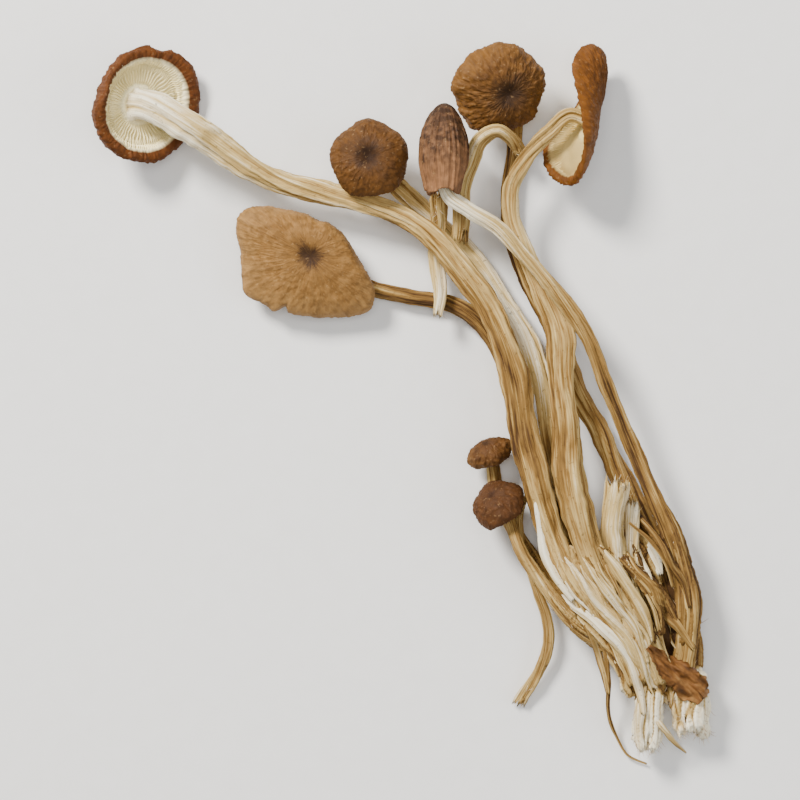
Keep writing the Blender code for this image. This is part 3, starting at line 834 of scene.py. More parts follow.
# A cap's half profile: share of its radius, then share of its thickness.
CAP_TOP = (
    (0.0, 1.0), (0.22, 0.99), (0.45, 0.93), (0.67, 0.79), (0.86, 0.50), (0.97, 0.10),
    (1.0, -0.28),
)
CAP_BELOW = (
    (1.0, -0.28), (0.955, -0.52), (0.88, -0.48), (0.82, -0.14), (0.72, 0.08), (0.5, 0.18),
    (0.38, 0.16), (0.31, -0.02), (0.25, 0.02), (0.18, 0.2), (0.0, 0.24),
)
GILL_EDGES = ((0.0, 0.02), (0.30, 0.0), (0.40, -0.04), (0.72, -0.14), (0.86, -0.40), (1.0, -0.3))
ROLL_FROM = 0.70  # share of the radius outside which the margin may be rolled further in
DIMPLE_REACH = 0.20
BOWL_REACH = 0.46
FINEST_SKIN = 0.15  # between points round the margin, or the radius over this many steps
SKIN_STEPS = 68
SKIN_SPOKES = 0.36  # how many wrinkles run out from the middle, against the radius


def on_cap(name, share, rise, angle, below):
    """Points of a cap, in the drawing, from shares of its radius and thickness and angles."""
    cap = CAPS[name]
    centre, faces = CAP_SEATS[name]
    reach = cap["radius"] * share * (1 - cap["closed"] * share**6)
    for count, height, lean in cap["lobes"]:
        reach = reach + cap["radius"] * share**3 * height * np.cos(count * angle + lean)
    reach = reach - below * cap["radius"] * share * cap["wall"]
    for where, width, depth in cap["nicks"]:
        off = np.angle(np.exp(1j * (angle - where))) / width
        reach = reach - cap["radius"] * depth * share**8 * np.exp(-(off**2))
    across = reach * np.cos(angle) * cap["narrow"]
    along = reach * np.sin(angle)
    count, height, lean = cap["wave"]
    up = rise * cap["thick"] - cap["droop"] * cap["radius"] * share**2
    up = up + height * share**3 * np.cos(count * angle + lean)
    up = up - (1 - below) * cap["dimple"] * np.exp(-((share / DIMPLE_REACH) ** 2))
    up = up - (1 - below) * cap["bowl"] * np.exp(-((share / BOWL_REACH) ** 2))
    if cap["fold"]:
        bend = across / cap["fold"]
        across, up = (
            (cap["fold"] + up) * np.sin(bend),
            (cap["fold"] + up) * np.cos(bend) - cap["fold"],
        )
    twist = cap["twist"] * along / cap["radius"]
    across, up = (
        across * np.cos(twist) - up * np.sin(twist),
        across * np.sin(twist) + up * np.cos(twist),
    )
    out = unit(faces)
    lengthwise = unit(np.array(cap["crease"]) - np.dot(cap["crease"], out) * out)
    sideways = np.cross(lengthwise, out)
    return (
        np.array(centre)
        + across[..., None] * sideways
        + along[..., None] * lengthwise
        + up[..., None] * out
    )


def rolled(share, roll):
    """A share of the radius on the underside, moved in where the margin is rolled in."""
    turned = 1 - (1 - share) * roll
    blend = np.clip((share - ROLL_FROM) / 0.12, 0, 1)
    return share * (1 - blend) + turned * blend


def profile_of(cap, step):
    """Shares, rises and the below mask, ring by ring, from the top's middle round to below."""
    scale = np.array((cap["radius"], cap["thick"]))
    rows = []
    for below, points, wider in ((0.0, CAP_TOP, 1.4), (1.0, CAP_BELOW, 2.0)):
        smooth, _ = smooth_line(np.array(points) * scale, step * wider)
        smooth = smooth / scale
        keep = smooth[1:] if below else smooth
        rows += [(share, rise, below) for share, rise in keep]
    share, rise, below = np.array(rows).T
    share = np.clip(share, 0, None)
    share = np.where(below > 0, rolled(share, cap["roll"]), share)
    below = below * np.clip((1 - share) / 0.05, 0, 1)
    return share[1:-1], rise[1:-1], below[1:-1]


def cap_skin(name):
    """The skin and flesh of a cap as one closed piece, with what its wrinkles need."""
    cap = CAPS[name]
    step = max(FINEST_SKIN, cap["radius"] / SKIN_STEPS)
    share, rise, below = profile_of(cap, step)
    around = round(math.tau * cap["radius"] / step)
    angle = np.arange(around) * math.tau / around
    s, a = np.meshgrid(share, angle, indexing="ij")
    points = on_cap(name, s, np.broadcast_to(rise[:, None], s.shape), a, below[:, None])
    zero = np.zeros(1)
    crown = on_cap(name, zero, np.array(CAP_TOP[0][1:]), zero, zero)
    under = on_cap(name, zero, np.array(CAP_BELOW[-1][1:]), zero, zero + 1)
    spokes = cap["radius"] * SKIN_SPOKES
    drawn = s * cap["long"] + 9 * below[:, None]
    grain = np.stack([np.cos(a) * spokes, np.sin(a) * spokes, drawn], -1)
    columns = {
        "grain": grain.reshape(-1, 3),
        "share": s.ravel(),
        "below": np.repeat(below, around),
        "size": (np.clip(s * 1.5, 0.15, 1.0) * MM).ravel(),
        "torn": np.zeros(s.size),
        "run": np.zeros((s.size, 3)),
    }
    columns = with_ends(columns)
    columns["size"][-2:] = 0.0
    faces = [face[::-1] for face in tube_faces(len(share), around)]
    points = np.concatenate([points.reshape(-1, 3), crown, under])
    return piece_of("dried_" + name, points, faces, columns)


def times(colour, share):
    """A colour made darker or lighter."""
    return (*(min(1.0, share * c) for c in colour[:3]), 1.0)


def cap_material(name):
    """Wrinkled cap skin, darker towards a dark star in the middle, with painted shade in the grooves
    of its wrinkles and pale flesh below.
    """
    cap = CAPS[name]
    material, tree = new_material("skin of " + name, 0.7, 0.2)
    fibres, patches, specks = dry_grain(tree, 0.9, 1.0)
    share = held(tree, "share")
    place = add(tree, "ShaderNodeTexCoord").outputs["Object"]
    blotch = noise(tree, place, 420.0, 5.0)
    ragged = maths(tree, "MULTIPLY_ADD", patches, 0.12, -0.06)
    ragged = maths(tree, "MULTIPLY_ADD", fibres, 0.16, ragged)
    ragged = maths(tree, "MULTIPLY_ADD", blotch, 0.24, ragged)
    ragged = maths(tree, "ADD", maths(tree, "SUBTRACT", ragged, 0.20), share)
    colour = ramp(
        tree, ragged, (0.45 * cap["star"], cap["heart"]), (cap["star"], cap["skin"]),
        (0.72, cap["skin"]), (0.98, cap["edge"]),
    )
    # painted shade: the grooves between the wrinkles are darkened towards 0.4 of the skin colour
    groove = maths(tree, "SUBTRACT", 1.0, held(tree, "fold"), clamp=True)
    groove = maths(tree, "MULTIPLY", maths(tree, "POWER", groove, 1.3), 0.70)
    colour = mixed(tree, groove, colour, times(cap["skin"], 0.40))
    worn = between(tree, noise(tree, place, 900.0, 4.0), 0.42, 0.66)
    worn = maths(tree, "MULTIPLY", worn, maths(tree, "MULTIPLY", share, 1.6, clamp=True))
    colour = mixed(tree, maths(tree, "MULTIPLY", worn, 0.35), colour, times(cap["edge"], 1.45))
    colour = mixed(tree, maths(tree, "MULTIPLY", specks, 0.20), colour, linear(196, 160, 112))
    flesh = mixed(tree, fibres, cap["gills"], times(cap["gills"], 0.86))
    flesh_ends = 1 - 0.11 * cap["roll"]
    inner = between(tree, share, flesh_ends, flesh_ends - 0.06)
    colour = mixed(tree, maths(tree, "MULTIPLY", inner, held(tree, "below")), colour, flesh)
    dull = maths(tree, "MULTIPLY_ADD", blotch, 0.30, 0.52)
    height = maths(tree, "MULTIPLY_ADD", fibres, 0.5, blotch)
    surfaced(tree, colour, dull, height, Strength=0.4, Distance=0.00015)
    return material


for number, name in enumerate(CAPS):
    skin_piece = cap_skin(name)
    made_plain(
        skin_piece, DRYING_FOLDS, Swell=0.20, Folds=CAPS[name]["wrinkles"],
        Fibres=CAPS[name]["fine"], Count=1.3, Finer=2.4, Lumps=CAPS[name]["lumps"], Tear=0.0,
        Seed=50.0 + number, Finish=cap_material(name),
    )
    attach(skin_piece, "root")
    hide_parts(name)


# The gills. Thin blades of flesh stand on edge under every cap, like the spokes of a wheel,
# with shorter ones between the long ones at the margin. Drying left them brittle and wavy.
BLADE_STEPS = 18
BLADE_THICK = 0.014  # of the cap's radius, where a blade meets the flesh
BLADE_SPOTS = (0.30, 0.52, 0.92)  # shares of the radius: long ones and short ones begin, all end
BLADES = 11.2  # long and short ones together, for each millimetre of the radius
BLADE_ROOT = 0.06  # how deep a blade stands in the flesh, as a share of the cap's thickness


def blade(name, starts):
    """One gill as a thin wedge, laid out flat: x is the share of the radius, z of its depth."""
    x = np.linspace(starts, BLADE_SPOTS[2], BLADE_STEPS)
    taper = np.clip((x - starts) / 0.10, 0.03, 1) * np.clip((BLADE_SPOTS[2] - x) / 0.05, 0.03, 1)
    half = np.sqrt(taper) * BLADE_THICK / 2
    rows = [(-half, 0 * x - 0.4), (half, 0 * x - 0.4), (half * 0.35, taper), (-half * 0.35, taper)]
    points = np.stack([np.stack([x, y, z], -1) for y, z in rows], axis=1).reshape(-1, 3)
    faces = ring_faces(BLADE_STEPS, 4)
    last = len(points)
    faces += [[3, 2, 1, 0], [last - 4, last - 3, last - 2, last - 1]]
    data = bpy.data.meshes.new(name)
    data.from_pydata(points.tolist(), [], [face[::-1] for face in faces])
    return bpy.data.objects.new(name, data)


def scattered(tree, low, high, seed):
    """A random number for each point, or a random vector."""
    if isinstance(low, tuple):
        inputs = {0: low, 1: high, "Seed": seed}
        return add(tree, "FunctionNodeRandomValue", inputs, data_type="FLOAT_VECTOR").outputs[0]
    inputs = {2: low, 3: high, "Seed": seed}
    return add(tree, "FunctionNodeRandomValue", inputs, data_type="FLOAT").outputs[1]


def gill_tree():
    """Sets long and short blades in turn round a ring."""
    inputs = {"Base": "Geometry", "Long": "Object", "Short": "Object", "Count": "Int"}
    inputs |= {"Uneven": "Float", "Seed": "Int", "Finish": "Material"}
    tree, given = new_tree("ring of gills", inputs, "Gills")
    number = add(tree, "GeometryNodeInputIndex").outputs[0]
    step = maths(tree, "DIVIDE", math.tau, given["Count"])
    sway = maths(tree, "MULTIPLY", scattered(tree, -0.5, 0.5, given["Seed"]), given["Uneven"])
    angle = maths(tree, "MULTIPLY", maths(tree, "ADD", number, sway), step)
    turned = add(tree, "ShaderNodeCombineXYZ", {2: angle}).outputs[0]
    odd = maths(tree, "MODULO", number, 2.0)
    both = tree.nodes.new("GeometryNodeJoinGeometry")
    for key, parity in (("Long", 0.0), ("Short", 1.0)):
        spots = add(tree, "GeometryNodePoints", {"Count": given["Count"]}).outputs[0]
        inputs = {0: odd, 1: parity, "Epsilon": 0.1}
        chosen = add(tree, "FunctionNodeCompare", inputs, operation="EQUAL").outputs[0]
        shape = add(tree, "GeometryNodeObjectInfo", {"Object": given[key]}).outputs["Geometry"]
        inputs = {"Points": spots, "Selection": chosen, "Instance": shape, "Rotation": turned}
        ring = add(tree, "GeometryNodeInstanceOnPoints", inputs)
        tree.links.new(ring.outputs[0], both.inputs[0])
    return ended(tree, both.outputs[0], given["Finish"])


def gill_material(name):
    """Gill flesh, paler towards its free edge and darker at each blade's root as painted shade
    between the blades, browner near the margin, with tiny spots.
    """
    cap = CAPS[name]
    material, tree = new_material("gills of " + name, 0.72, 0.3)
    place = add(tree, "ShaderNodeTexCoord").outputs["Object"]
    cloud = noise(tree, place, 300.0, 3.0)
    # painted shade: each blade darkens towards its root, where the blades stand close, under a
    # random cloud of tone
    tone_and_painted_shade = maths(tree, "MULTIPLY_ADD", cloud, 0.5, held(tree, "depth"))
    tone_and_painted_shade = maths(tree, "SUBTRACT", tone_and_painted_shade, 0.1, clamp=True)
    colour = mixed(tree, tone_and_painted_shade, times(cap["gills"], 0.90), cap["gills"])
    burnt = maths(tree, "MULTIPLY", between(tree, held(tree, "share"), 0.72, 0.95), 0.55)
    colour = mixed(tree, burnt, colour, cap["edge"])
    dull = maths(tree, "MULTIPLY_ADD", cloud, 0.25, 0.55)
    surfaced(tree, colour, dull, cloud, Strength=0.2, Distance=0.0001)
    return material


def sprout(name):
    """A piece of a single point, from which a tree makes the rest."""
    return piece_of(name, np.array([MIDDLE]), [], {})


GILL_RING = gill_tree()
long_blade = blade("long gill", BLADE_SPOTS[0])
short_blade = blade("short gill", BLADE_SPOTS[1])
below_share, below_rise = np.array(CAP_BELOW[::-1]).T
edge_share, edge_rise = np.array(GILL_EDGES).T

for number, (name, cap) in enumerate(CAPS.items()):
    gills = sprout("gills" + name[3:])
    made_plain(
        gills, GILL_RING, Long=long_blade, Short=short_blade,
        Count=2 * round(cap["radius"] * BLADES / 2), Uneven=0.5, Seed=number,
        Finish=gill_material(name),
    )
    flat = np.empty(3 * len(gills.data.vertices), np.float32)
    gills.data.vertices.foreach_get("co", flat)
    x, y, depth = flat.reshape(-1, 3).T
    share = np.hypot(x, y)
    angle = np.arctan2(y, x)
    angle = angle + 0.02 * np.sin(23 * share + 5 * angle) * (1 - 0.3 * share)
    root = np.interp(share, below_share, below_rise) + BLADE_ROOT
    edge = np.interp(share, edge_share, edge_rise)
    share = rolled(share, cap["roll"])
    rise = np.where(depth < 0, root, root + (edge - root) * np.clip(depth, 0, 1))
    rise += 0.03 * (depth > 0) * np.sin(31 * share + 9 * angle)
    points = (on_cap(name, share, rise, angle, np.ones_like(share)) - MIDDLE) * MM
    gills.data.vertices.foreach_set("co", points.astype(np.float32).ravel())
    for key, values in (("depth", np.clip(depth, 0, 1)), ("share", share)):
        values = np.ascontiguousarray(values, np.float32)
        gills.data.attributes.new(key, "FLOAT", "POINT").data.foreach_set("value", values)
    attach(gills, "root")


# The foot. Here the mushrooms grew as one: their lower ends run on as fibrous cords that are
# fused side by side, split by narrow gaps, and torn off white where the clump was pulled up.
FOOT_VOXEL = 0.27
FOOT_STEP = 0.5
FOOT_FLAT = 0.66
CORD_FRAYED = 4.0  # length of a cord's torn end
ROPE_OUT = 0.80  # cords round a line lie this share of its half width from it
ROPE_CORE = 0.84  # and this share is filled in between them
SLIT_REACH = 0.22  # of a cord's half width, how far from its edge a slit begins to sink
SLIT_DEPTH = 0.42
# painted shade in the slits between the cords
SLIT_PAINTED_SHADE = 1.1
FOOT_STAIN = 0.28  # how much browner the foot is than the white flesh torn open in it
TORN_CLEAN = 0.8  # share of those two that a torn end lacks
# painted shade: the pocket below is darkened, as shade falls in a hollow
POCKET = (5.3, 2.7, 8.5)  # a dark hollow where flesh tore out, its axes, reach and depth
POCKET_AXES = ((0.75, -0.66, 0.0), (0.66, 0.75, 0.0), (0.0, 0.0, 1.0))
POCKET_REACH = (3.2, 1.4, 4.0)
POCKET_DEPTH = 3.2
# how much painted shade the pocket gets
POCKET_PAINTED_SHADE = 2.4
FOOT_CORE = ((1.4, 26.0, 4.6), (2.2, 13.0, 4.4), (2.6, 3.0, 4.0), (1.4, -5.0, 3.6))
FOOT_WIDTHS = (14.0, 13.0, 7.0)
SHEATH = ((10.0, 1.10), (18.0, 1.07), (24.0, 0.98), (31.0, 0.78))  # of a stem's width, by its Y
CORDS = (
    # route, full widths, paleness
    (((-8.6, 21.2, 6.6), (-7.2, 15.7, 8.4), (-5.3, 10.0, 8.8), (-4.1, 4.6, 8.2), (-4.9, -0.9, 6.6)),
     (2.0, 2.4, 2.0), 0.9),
    (((-4.9, 27.5, 10.4), (-4.1, 20.3, 11.0), (-2.1, 13.6, 11.0), (-1.2, 6.4, 9.8),
      (-1.9, 0.7, 8.4)), (1.8, 2.6, 2.2), 0.9),
    (((-2.6, 25.3, 12.6), (-1.1, 17.1, 12.4), (1.2, 10.2, 10.4), (1.0, 5.0, 9.6)),
     (1.6, 2.2, 1.6), 0.7),
    (((0.0, 25.4, 12.2), (1.7, 17.9, 10.9), (2.7, 8.6, 9.6), (2.2, 3.4, 8.4)),
     (1.4, 2.0, 1.4), 0.55),
    (((1.7, 24.7, 9.6), (4.1, 18.8, 9.8), (5.3, 12.4, 9.2), (4.3, 7.0, 8.8)),
     (1.8, 2.4, 1.8), 0.4),
    (((3.5, 22.0, 9.8), (7.3, 12.6, 8.6), (7.7, 6.5, 7.8), (7.6, 0.0, 6.2)),
     (1.6, 2.0, 1.0), 0.3),
    (((8.6, 29.0, 6.0), (10.2, 21.2, 10.2), (11.0, 16.2, 9.8), (10.4, 9.0, 8.0)),
     (0.9, 1.4, 1.2), 0.2),
    (((10.6, 17.5, 5.6), (10.2, 9.5, 5.0), (8.8, 1.5, 4.4), (6.4, -3.6, 4.4)),
     (2.4, 2.8, 2.0), 0.4),
    (((0.4, 7.4, 8.8), (1.8, 3.4, 8.6), (3.0, -0.6, 7.8), (5.0, -4.0, 6.8)),
     (1.6, 3.0, 3.0), 0.3),
    (((2.6, 3.4, 8.0), (4.6, 0.2, 7.6), (6.6, -2.6, 6.6), (7.4, -5.0, 5.4)),
     (1.8, 3.2, 2.8), 0.2),
)
PRONGS = (
    # route, full widths, cords in it
    (((1.4, 3.3, 6.5), (-2.6, -3.8, 6.2), (-6.3, -11.5, 4.8)), (4.6, 4.0, 3.6), 6),
    (((5.3, -1.3, 5.4), (3.5, -7.3, 5.0), (1.9, -12.6, 4.2)), (6.0, 5.6, 5.2), 8),
    (((-1.6, 6.6, 7.4), (-3.8, 2.6, 6.8), (-5.2, -1.3, 6.0)), (2.8, 2.2, 1.2), 4),
)


def cord(points, half, flat, pale, seed, torn=0.0):
    """One cord of the foot, as a way that a stalk could follow."""
    slopes = unit(np.gradient(points, axis=0))
    ups, across = sides_along(slopes)
    along = np.arange(len(points)) * FOOT_STEP
    even = np.ones(len(points))
    sides = dict(points=points, slopes=slopes, ups=ups, across=across, along=along)
    return sides | dict(
        half=half, flat=flat * even, lean=0 * even, pale=pale * even,
        torn=np.clip(1 - (along[-1] - along) / CORD_FRAYED, 0, 1) * torn, seed=seed,
    )


def cords_round(route, widths, flat, count, ragged, splay, pale, seed):
    """Cords that cover a line like the strands of a rope, with ends at uneven lengths."""
    rng = np.random.default_rng(seed)
    points, slopes = smooth_line(route, FOOT_STEP)
    ups, across = sides_along(slopes)
    half = half_widths(widths, len(points))
    made = []
    for i in range(count):
        angle = math.tau * (i + rng.uniform(-0.3, 0.3)) / count
        angle = angle + 0.35 * wander(len(points), FOOT_STEP, 12, seed * 100 + i)
        out = ROPE_OUT + 0.12 * wander(len(points), FOOT_STEP, 6, seed * 200 + i)
        out = out + splay * np.linspace(0, 1, len(points)) ** 4
        middle = points + (out * half * np.cos(angle))[:, None] * across
        middle = middle + (out * half * flat * np.sin(angle))[:, None] * ups
        thick = math.pi * half.mean() * (1 + flat) / count * rng.uniform(0.42, 0.62)
        ends = max(6, len(points) - int(rng.uniform(0, ragged) / FOOT_STEP))
        size = thick * (1 + 0.2 * wander(ends, FOOT_STEP, 5, seed * 300 + i))
        shade = pale + rng.uniform(-0.3, 0.25)
        made.append(cord(middle[:ends], size, 0.85, shade, seed * 40 + i, torn=1.0))
    inner = slice(0, -int(ragged / FOOT_STEP))
    core = ROPE_CORE * half[inner]
    made.append(cord(points[inner], core, flat, pale, seed * 41, torn=1.0))
    return made


cords = []
for name, way in stem_ways.items():
    low = way["points"][:, 1] < SHEATH[-1][0]
    part = {
        key: values[low] if isinstance(values, np.ndarray) else values
        for key, values in way.items()
    }
    pale = spread(STEMS[name]["pale"], way["along"] / way["along"][-1])[low]
    part["half"] = part["half"] * np.interp(part["points"][:, 1], *np.array(SHEATH).T)
    cords.append(part | dict(pale=pale, torn=0 * pale))
for i, (route, widths, pale) in enumerate(CORDS):
    points, _ = smooth_line(route, FOOT_STEP)
    cords.append(cord(points, half_widths(widths, len(points)), 0.8, pale, 60 + i))
for i, (route, widths, count) in enumerate(PRONGS):
    cords += cords_round(route, widths, 0.80, count, 3.0, 0.22, 1.5, 3 + i)
cords += cords_round(FOOT_CORE, FOOT_WIDTHS, FOOT_FLAT, 20, 1.5, 0.0, 0.55, 7)


def cord_body(way, around=14):
    """The closed tube round one cord, in the drawing."""
    taper = np.ones(len(way["points"]))
    taper[[0, -1]] = 0.55
    angles = np.arange(around) * math.tau / around
    reach = (way["half"] * taper)[:, None]
    skin = ring_points(way["points"], way["across"], way["ups"], reach, way["flat"], angles)
    past = way["half"][[0, -1], None] * [[-0.3], [0.3]]
    ends = way["points"][[0, -1]] + way["slopes"][[0, -1]] * past
    return np.concatenate([skin, ends]), tube_faces(len(way["points"]), around)


def melted(ways, voxel):
    """All the cords as one closed skin: its points, where they face, and its faces."""
    points, faces = merged([cord_body(way) for way in ways])
    data = bpy.data.meshes.new("cords")
    data.from_pydata(points.tolist(), [], faces)
    lump = bpy.data.objects.new("cords", data)
    scene.collection.objects.link(lump)
    melt = lump.modifiers.new("melt", "REMESH")
    melt.mode = "VOXEL"
    melt.voxel_size = voxel
    graph = bpy.context.evaluated_depsgraph_get()
    done = bpy.data.meshes.new_from_object(lump.evaluated_get(graph), depsgraph=graph)
    skin = np.empty(3 * len(done.vertices), np.float32)
    out = np.empty(3 * len(done.vertices), np.float32)
    done.vertices.foreach_get("co", skin)
    done.vertices.foreach_get("normal", out)
    skin_faces = [list(face.vertices) for face in done.polygons]
    bpy.data.objects.remove(lump)
    bpy.data.meshes.remove(data)
    bpy.data.meshes.remove(done)
    return skin.reshape(-1, 3).astype(float), out.reshape(-1, 3).astype(float), skin_faces


skin, skin_out, skin_faces = melted(cords, FOOT_VOXEL)
owner = np.concatenate([np.full(len(way["points"]), i) for i, way in enumerate(cords)])
place_in = np.concatenate([np.arange(len(way["points"])) for way in cords])
middles = np.concatenate([way["points"] for way in cords])
halves = np.concatenate([way["half"] for way in cords])
nearest = np.empty(len(skin), int)
slit = np.empty(len(skin))  # 1 where a skin point lies as near to a second cord
AT_ONCE = 4000  # skin points that are measured against all cords together
for first in range(0, len(skin), AT_ONCE):
    some = slice(first, first + AT_ONCE)
    part = skin[some]
    off = np.linalg.norm(part[:, None, :] - middles[None, :, :], axis=-1) / halves
    near = off.argmin(axis=1)
    others = owner[near][:, None] != owner[None, :]
    second = np.where(others, off, np.inf).min(axis=1)
    nearest[some] = near
    slit[some] = np.clip(1 - (second - off.min(axis=1)) / SLIT_REACH, 0, 1)
columns = {key: np.zeros(len(skin)) for key in ("pale", "torn", "size")}
columns["grain"] = np.zeros((len(skin), 3))
columns["run"] = np.zeros((len(skin), 3))
for i, way in enumerate(cords):
    mine = owner[nearest] == i
    at = place_in[nearest[mine]]
    off = skin[mine] - way["points"][at]
    theta = np.arctan2(
        (off * way["ups"][at]).sum(1) / way["flat"][at], (off * way["across"][at]).sum(1)
    )
    along = way["along"][at] + (off * way["slopes"][at]).sum(1)
    columns["grain"][mine] = grain_of(theta + way["lean"][at], along, 1.0, way["seed"])
    columns["run"][mine] = way["slopes"][at]
    columns["size"][mine] = np.clip(way["half"][at], 0.5, 1.8) * MM
    for key in ("pale", "torn"):
        columns[key][mine] = way[key][at]
off = (skin - POCKET) @ np.array(POCKET_AXES).T
pocket = np.exp(-((off / POCKET_REACH) ** 2).sum(axis=1))
whole = 1 - TORN_CLEAN * columns["torn"]
# The foot is stained browner than the flesh torn open in it; its slits and the pocket are darkened
# as painted shade.
columns["pale"] -= (SLIT_PAINTED_SHADE * slit + FOOT_STAIN) * whole + POCKET_PAINTED_SHADE * pocket
skin = skin - skin_out * (SLIT_DEPTH * slit)[:, None] - (0, 0, POCKET_DEPTH) * pocket[:, None]
foot = piece_of("dried_foot", skin, skin_faces, columns)
made_plain(
    foot, DRYING_FOLDS, Swell=0.20, Folds=0.34, Fibres=0.16, Count=1.25,
    Finer=2.9, Lumps=0.10, Tear=2.0, Seed=0.0, Finish=STEM_FLESH,
)
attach(foot, "root")
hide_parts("foot")


# Torn strands. Over the foot lie single strands of flesh, as thick as string, that split
# apart when the stems were squeezed dry. The widest are white, and their ends are frayed.
STRAND_SIDES = 28
STRAND_FLAT = 0.85
STRAND_SUNK = 0.02  # share of its width that lies in the flesh below
STRAND_ROOT = 0.2  # share of its length over which its upper end dips into the flesh
# painted shade along a strand's lower sides
STRAND_PAINTED_SHADE = 1.1
BRIDGED = 2.5  # length of the dips that a strand lies across
STRANDS = (
    # plan route from the stems down to the torn end, full widths, paleness
    (((-6.7, 37.6), (-7.8, 33.4), (-8.6, 28.9), (-8.8, 24.2), (-7.6, 18.6)),
     (0.5, 1.4, 1.8, 1.6, 0.8), 1.35),
    (((-9.6, 21.5), (-7.8, 17.3), (-6.0, 14.2), (-3.9, 9.5), (-2.8, 4.6), (-2.9, 0.0),
      (-4.0, -4.5)), (1.0, 1.9, 2.0, 2.2, 2.2, 1.9, 0.8), 1.1),
    (((-6.3, 26.6), (-4.8, 19.1), (-3.4, 14.7), (-1.9, 9.2), (-1.2, 3.6), (-0.6, -1.4)),
     (0.8, 2.0, 2.3, 2.3, 2.4, 1.4), 1.05),
    (((-3.0, 25.4), (-1.9, 19.5), (-0.6, 15.1), (0.5, 10.9), (0.5, 6.6), (0.1, 3.6)),
     (0.7, 1.7, 2.1, 2.1, 1.4, 0.6), 1.0),
    (((0.3, 26.2), (1.4, 19.7), (2.2, 15.0), (2.5, 10.1), (1.9, 6.6)),
     (0.8, 1.9, 2.2, 1.8, 0.6), 0.8),
    (((3.5, 23.2), (5.0, 17.7), (5.9, 13.5), (7.2, 8.0), (8.2, 2.4)),
     (0.9, 1.8, 2.5, 2.1, 0.9), 0.4),
    (((7.9, 28.8), (9.3, 25.1), (10.4, 19.8), (11.0, 14.6), (10.6, 9.6)),
     (0.5, 1.0, 1.5, 1.5, 0.6), 0.15),
    (((8.3, 23.2), (8.4, 19.8), (8.2, 16.6)), (0.8, 2.0, 0.9), 1.3),
    (((-7.6, 15.4), (-7.2, 9.7), (-7.2, 5.5), (-8.0, 0.9)), (0.9, 1.5, 1.3, 0.7), 0.35),
)
WISPS = 22  # thinner strands, scattered between the others
WISP_TOPS = (-8.0, 9.0)  # across the foot
WISP_WIDTH = 0.75

graph = bpy.context.evaluated_depsgraph_get()
ground = [BVHTree.FromObject(foot, graph)]
ground += [BVHTree.FromObject(bpy.data.objects["dried_" + name], graph) for name in STEMS]


def height_under(x, y):
    """How high the topmost skin lies above the floor at a plan point, in the drawing."""
    above = Vector(((x - MIDDLE[0]) * MM, (y - MIDDLE[1]) * MM, 0.1))
    spots = [skin.ray_cast(above, Vector((0, 0, -1)))[0] for skin in ground]
    return max((spot.z / MM for spot in spots if spot), default=math.nan)


def laid(plan, step, sink):
    """A line through plan points that lies on the foot, sunk into it, and its slopes."""
    flat_line, _ = smooth_line([(x, y, 0.0) for x, y in plan], step)
    high = np.array([height_under(x, y) for x, y, _ in flat_line])
    at = np.arange(len(high))
    hit = np.isfinite(high)
    high = np.interp(at, at[hit], high[hit])
    kernel = np.hanning(2 * round(BRIDGED / step) + 3)
    high = np.convolve(np.pad(high, len(kernel) // 2, mode="edge"), kernel / kernel.sum(), "valid")
    points = flat_line + np.stack([0 * high, 0 * high, high - sink], -1)
    return points, unit(np.gradient(points, axis=0))


def strand(plan, widths, pale, seed):
    """One strand as a closed tube, sunk in at its upper end and frayed at the other."""
    points, slopes = laid(plan, RING_STEP, STRAND_SUNK * max(widths))
    share = np.linspace(0, 1, len(points))
    half = half_widths(widths, len(points))
    points[:, 2] -= (0.4 + half) * np.clip(1 - share / STRAND_ROOT, 0, 1) ** 2
    way = weathered((points, slopes), half, STRAND_FLAT, 0.5 * seed, seed)
    points, faces, columns = stalk(way, (pale, pale), torn_end=True, around=STRAND_SIDES)
    angles = np.arange(STRAND_SIDES) * math.tau / STRAND_SIDES
    shaded_flank = np.clip(0.55 - np.sin(angles), 0, 1)  # painted shade, darker low on its sides where it meets the foot
    columns["pale"][:-2] -= np.tile(STRAND_PAINTED_SHADE * shaded_flank, len(points) // STRAND_SIDES)
    return points, faces, columns


strands = [strand(*row, 120 + i) for i, row in enumerate(STRANDS)]
rng = np.random.default_rng(5)
for i in range(WISPS):
    top = WISP_TOPS[0] + (WISP_TOPS[1] - WISP_TOPS[0]) * (i + rng.uniform(-0.4, 0.4)) / WISPS
    high, long = rng.uniform(12, 26), rng.uniform(8, 16)
    ys = np.linspace(high, high - long, 5)
    pull = np.interp(ys, (-5, 25), (0.35, 1.0))  # the foot narrows towards its torn end
    xs = (top - 0.5) * pull + 0.5 + 1.4 * (1 - pull) + rng.uniform(-0.35, 0.35, 5)
    widths = (0.3, WISP_WIDTH * rng.uniform(0.7, 1.4), WISP_WIDTH, 0.25)
    strands.append(strand(list(zip(xs, ys)), widths, rng.uniform(0.4, 1.2), 140 + i))

strands_piece = joined("torn_strands", strands)
made_plain(
    strands_piece, DRYING_FOLDS, Swell=0.24, Folds=0.22, Fibres=0.12, Count=0.9,
    Finer=2.6, Lumps=0.10, Tear=3.0, Seed=0.0, Finish=STEM_FLESH,
)
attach(strands_piece, "root")


# The scrap of skin. A crumpled flake of red-brown skin still clings to the foot near its
# torn end. It is little thicker than paper, and its ragged margin stands off the flesh.
FLAKE_SPINE = ((1.2, 6.2), (2.7, 2.4), (4.5, -1.2), (6.0, -4.2), (6.8, -6.4))
FLAKE_WIDTHS = (0.8, 2.8, 4.6, 5.8, 5.4, 3.0)
FLAKE_THICK = 0.35
FLAKE_LIFT = 0.45  # its middle above the flesh, and how much further its margin stands off
FLAKE_CURL = 0.9
FLAKE_GRID = (90, 64)
FLAKE_GRAIN = ((0.34, 0.18, 0.0), (-0.06, 0.11, 0.0), (0.0, 0.0, 0.1))  # finer across its length

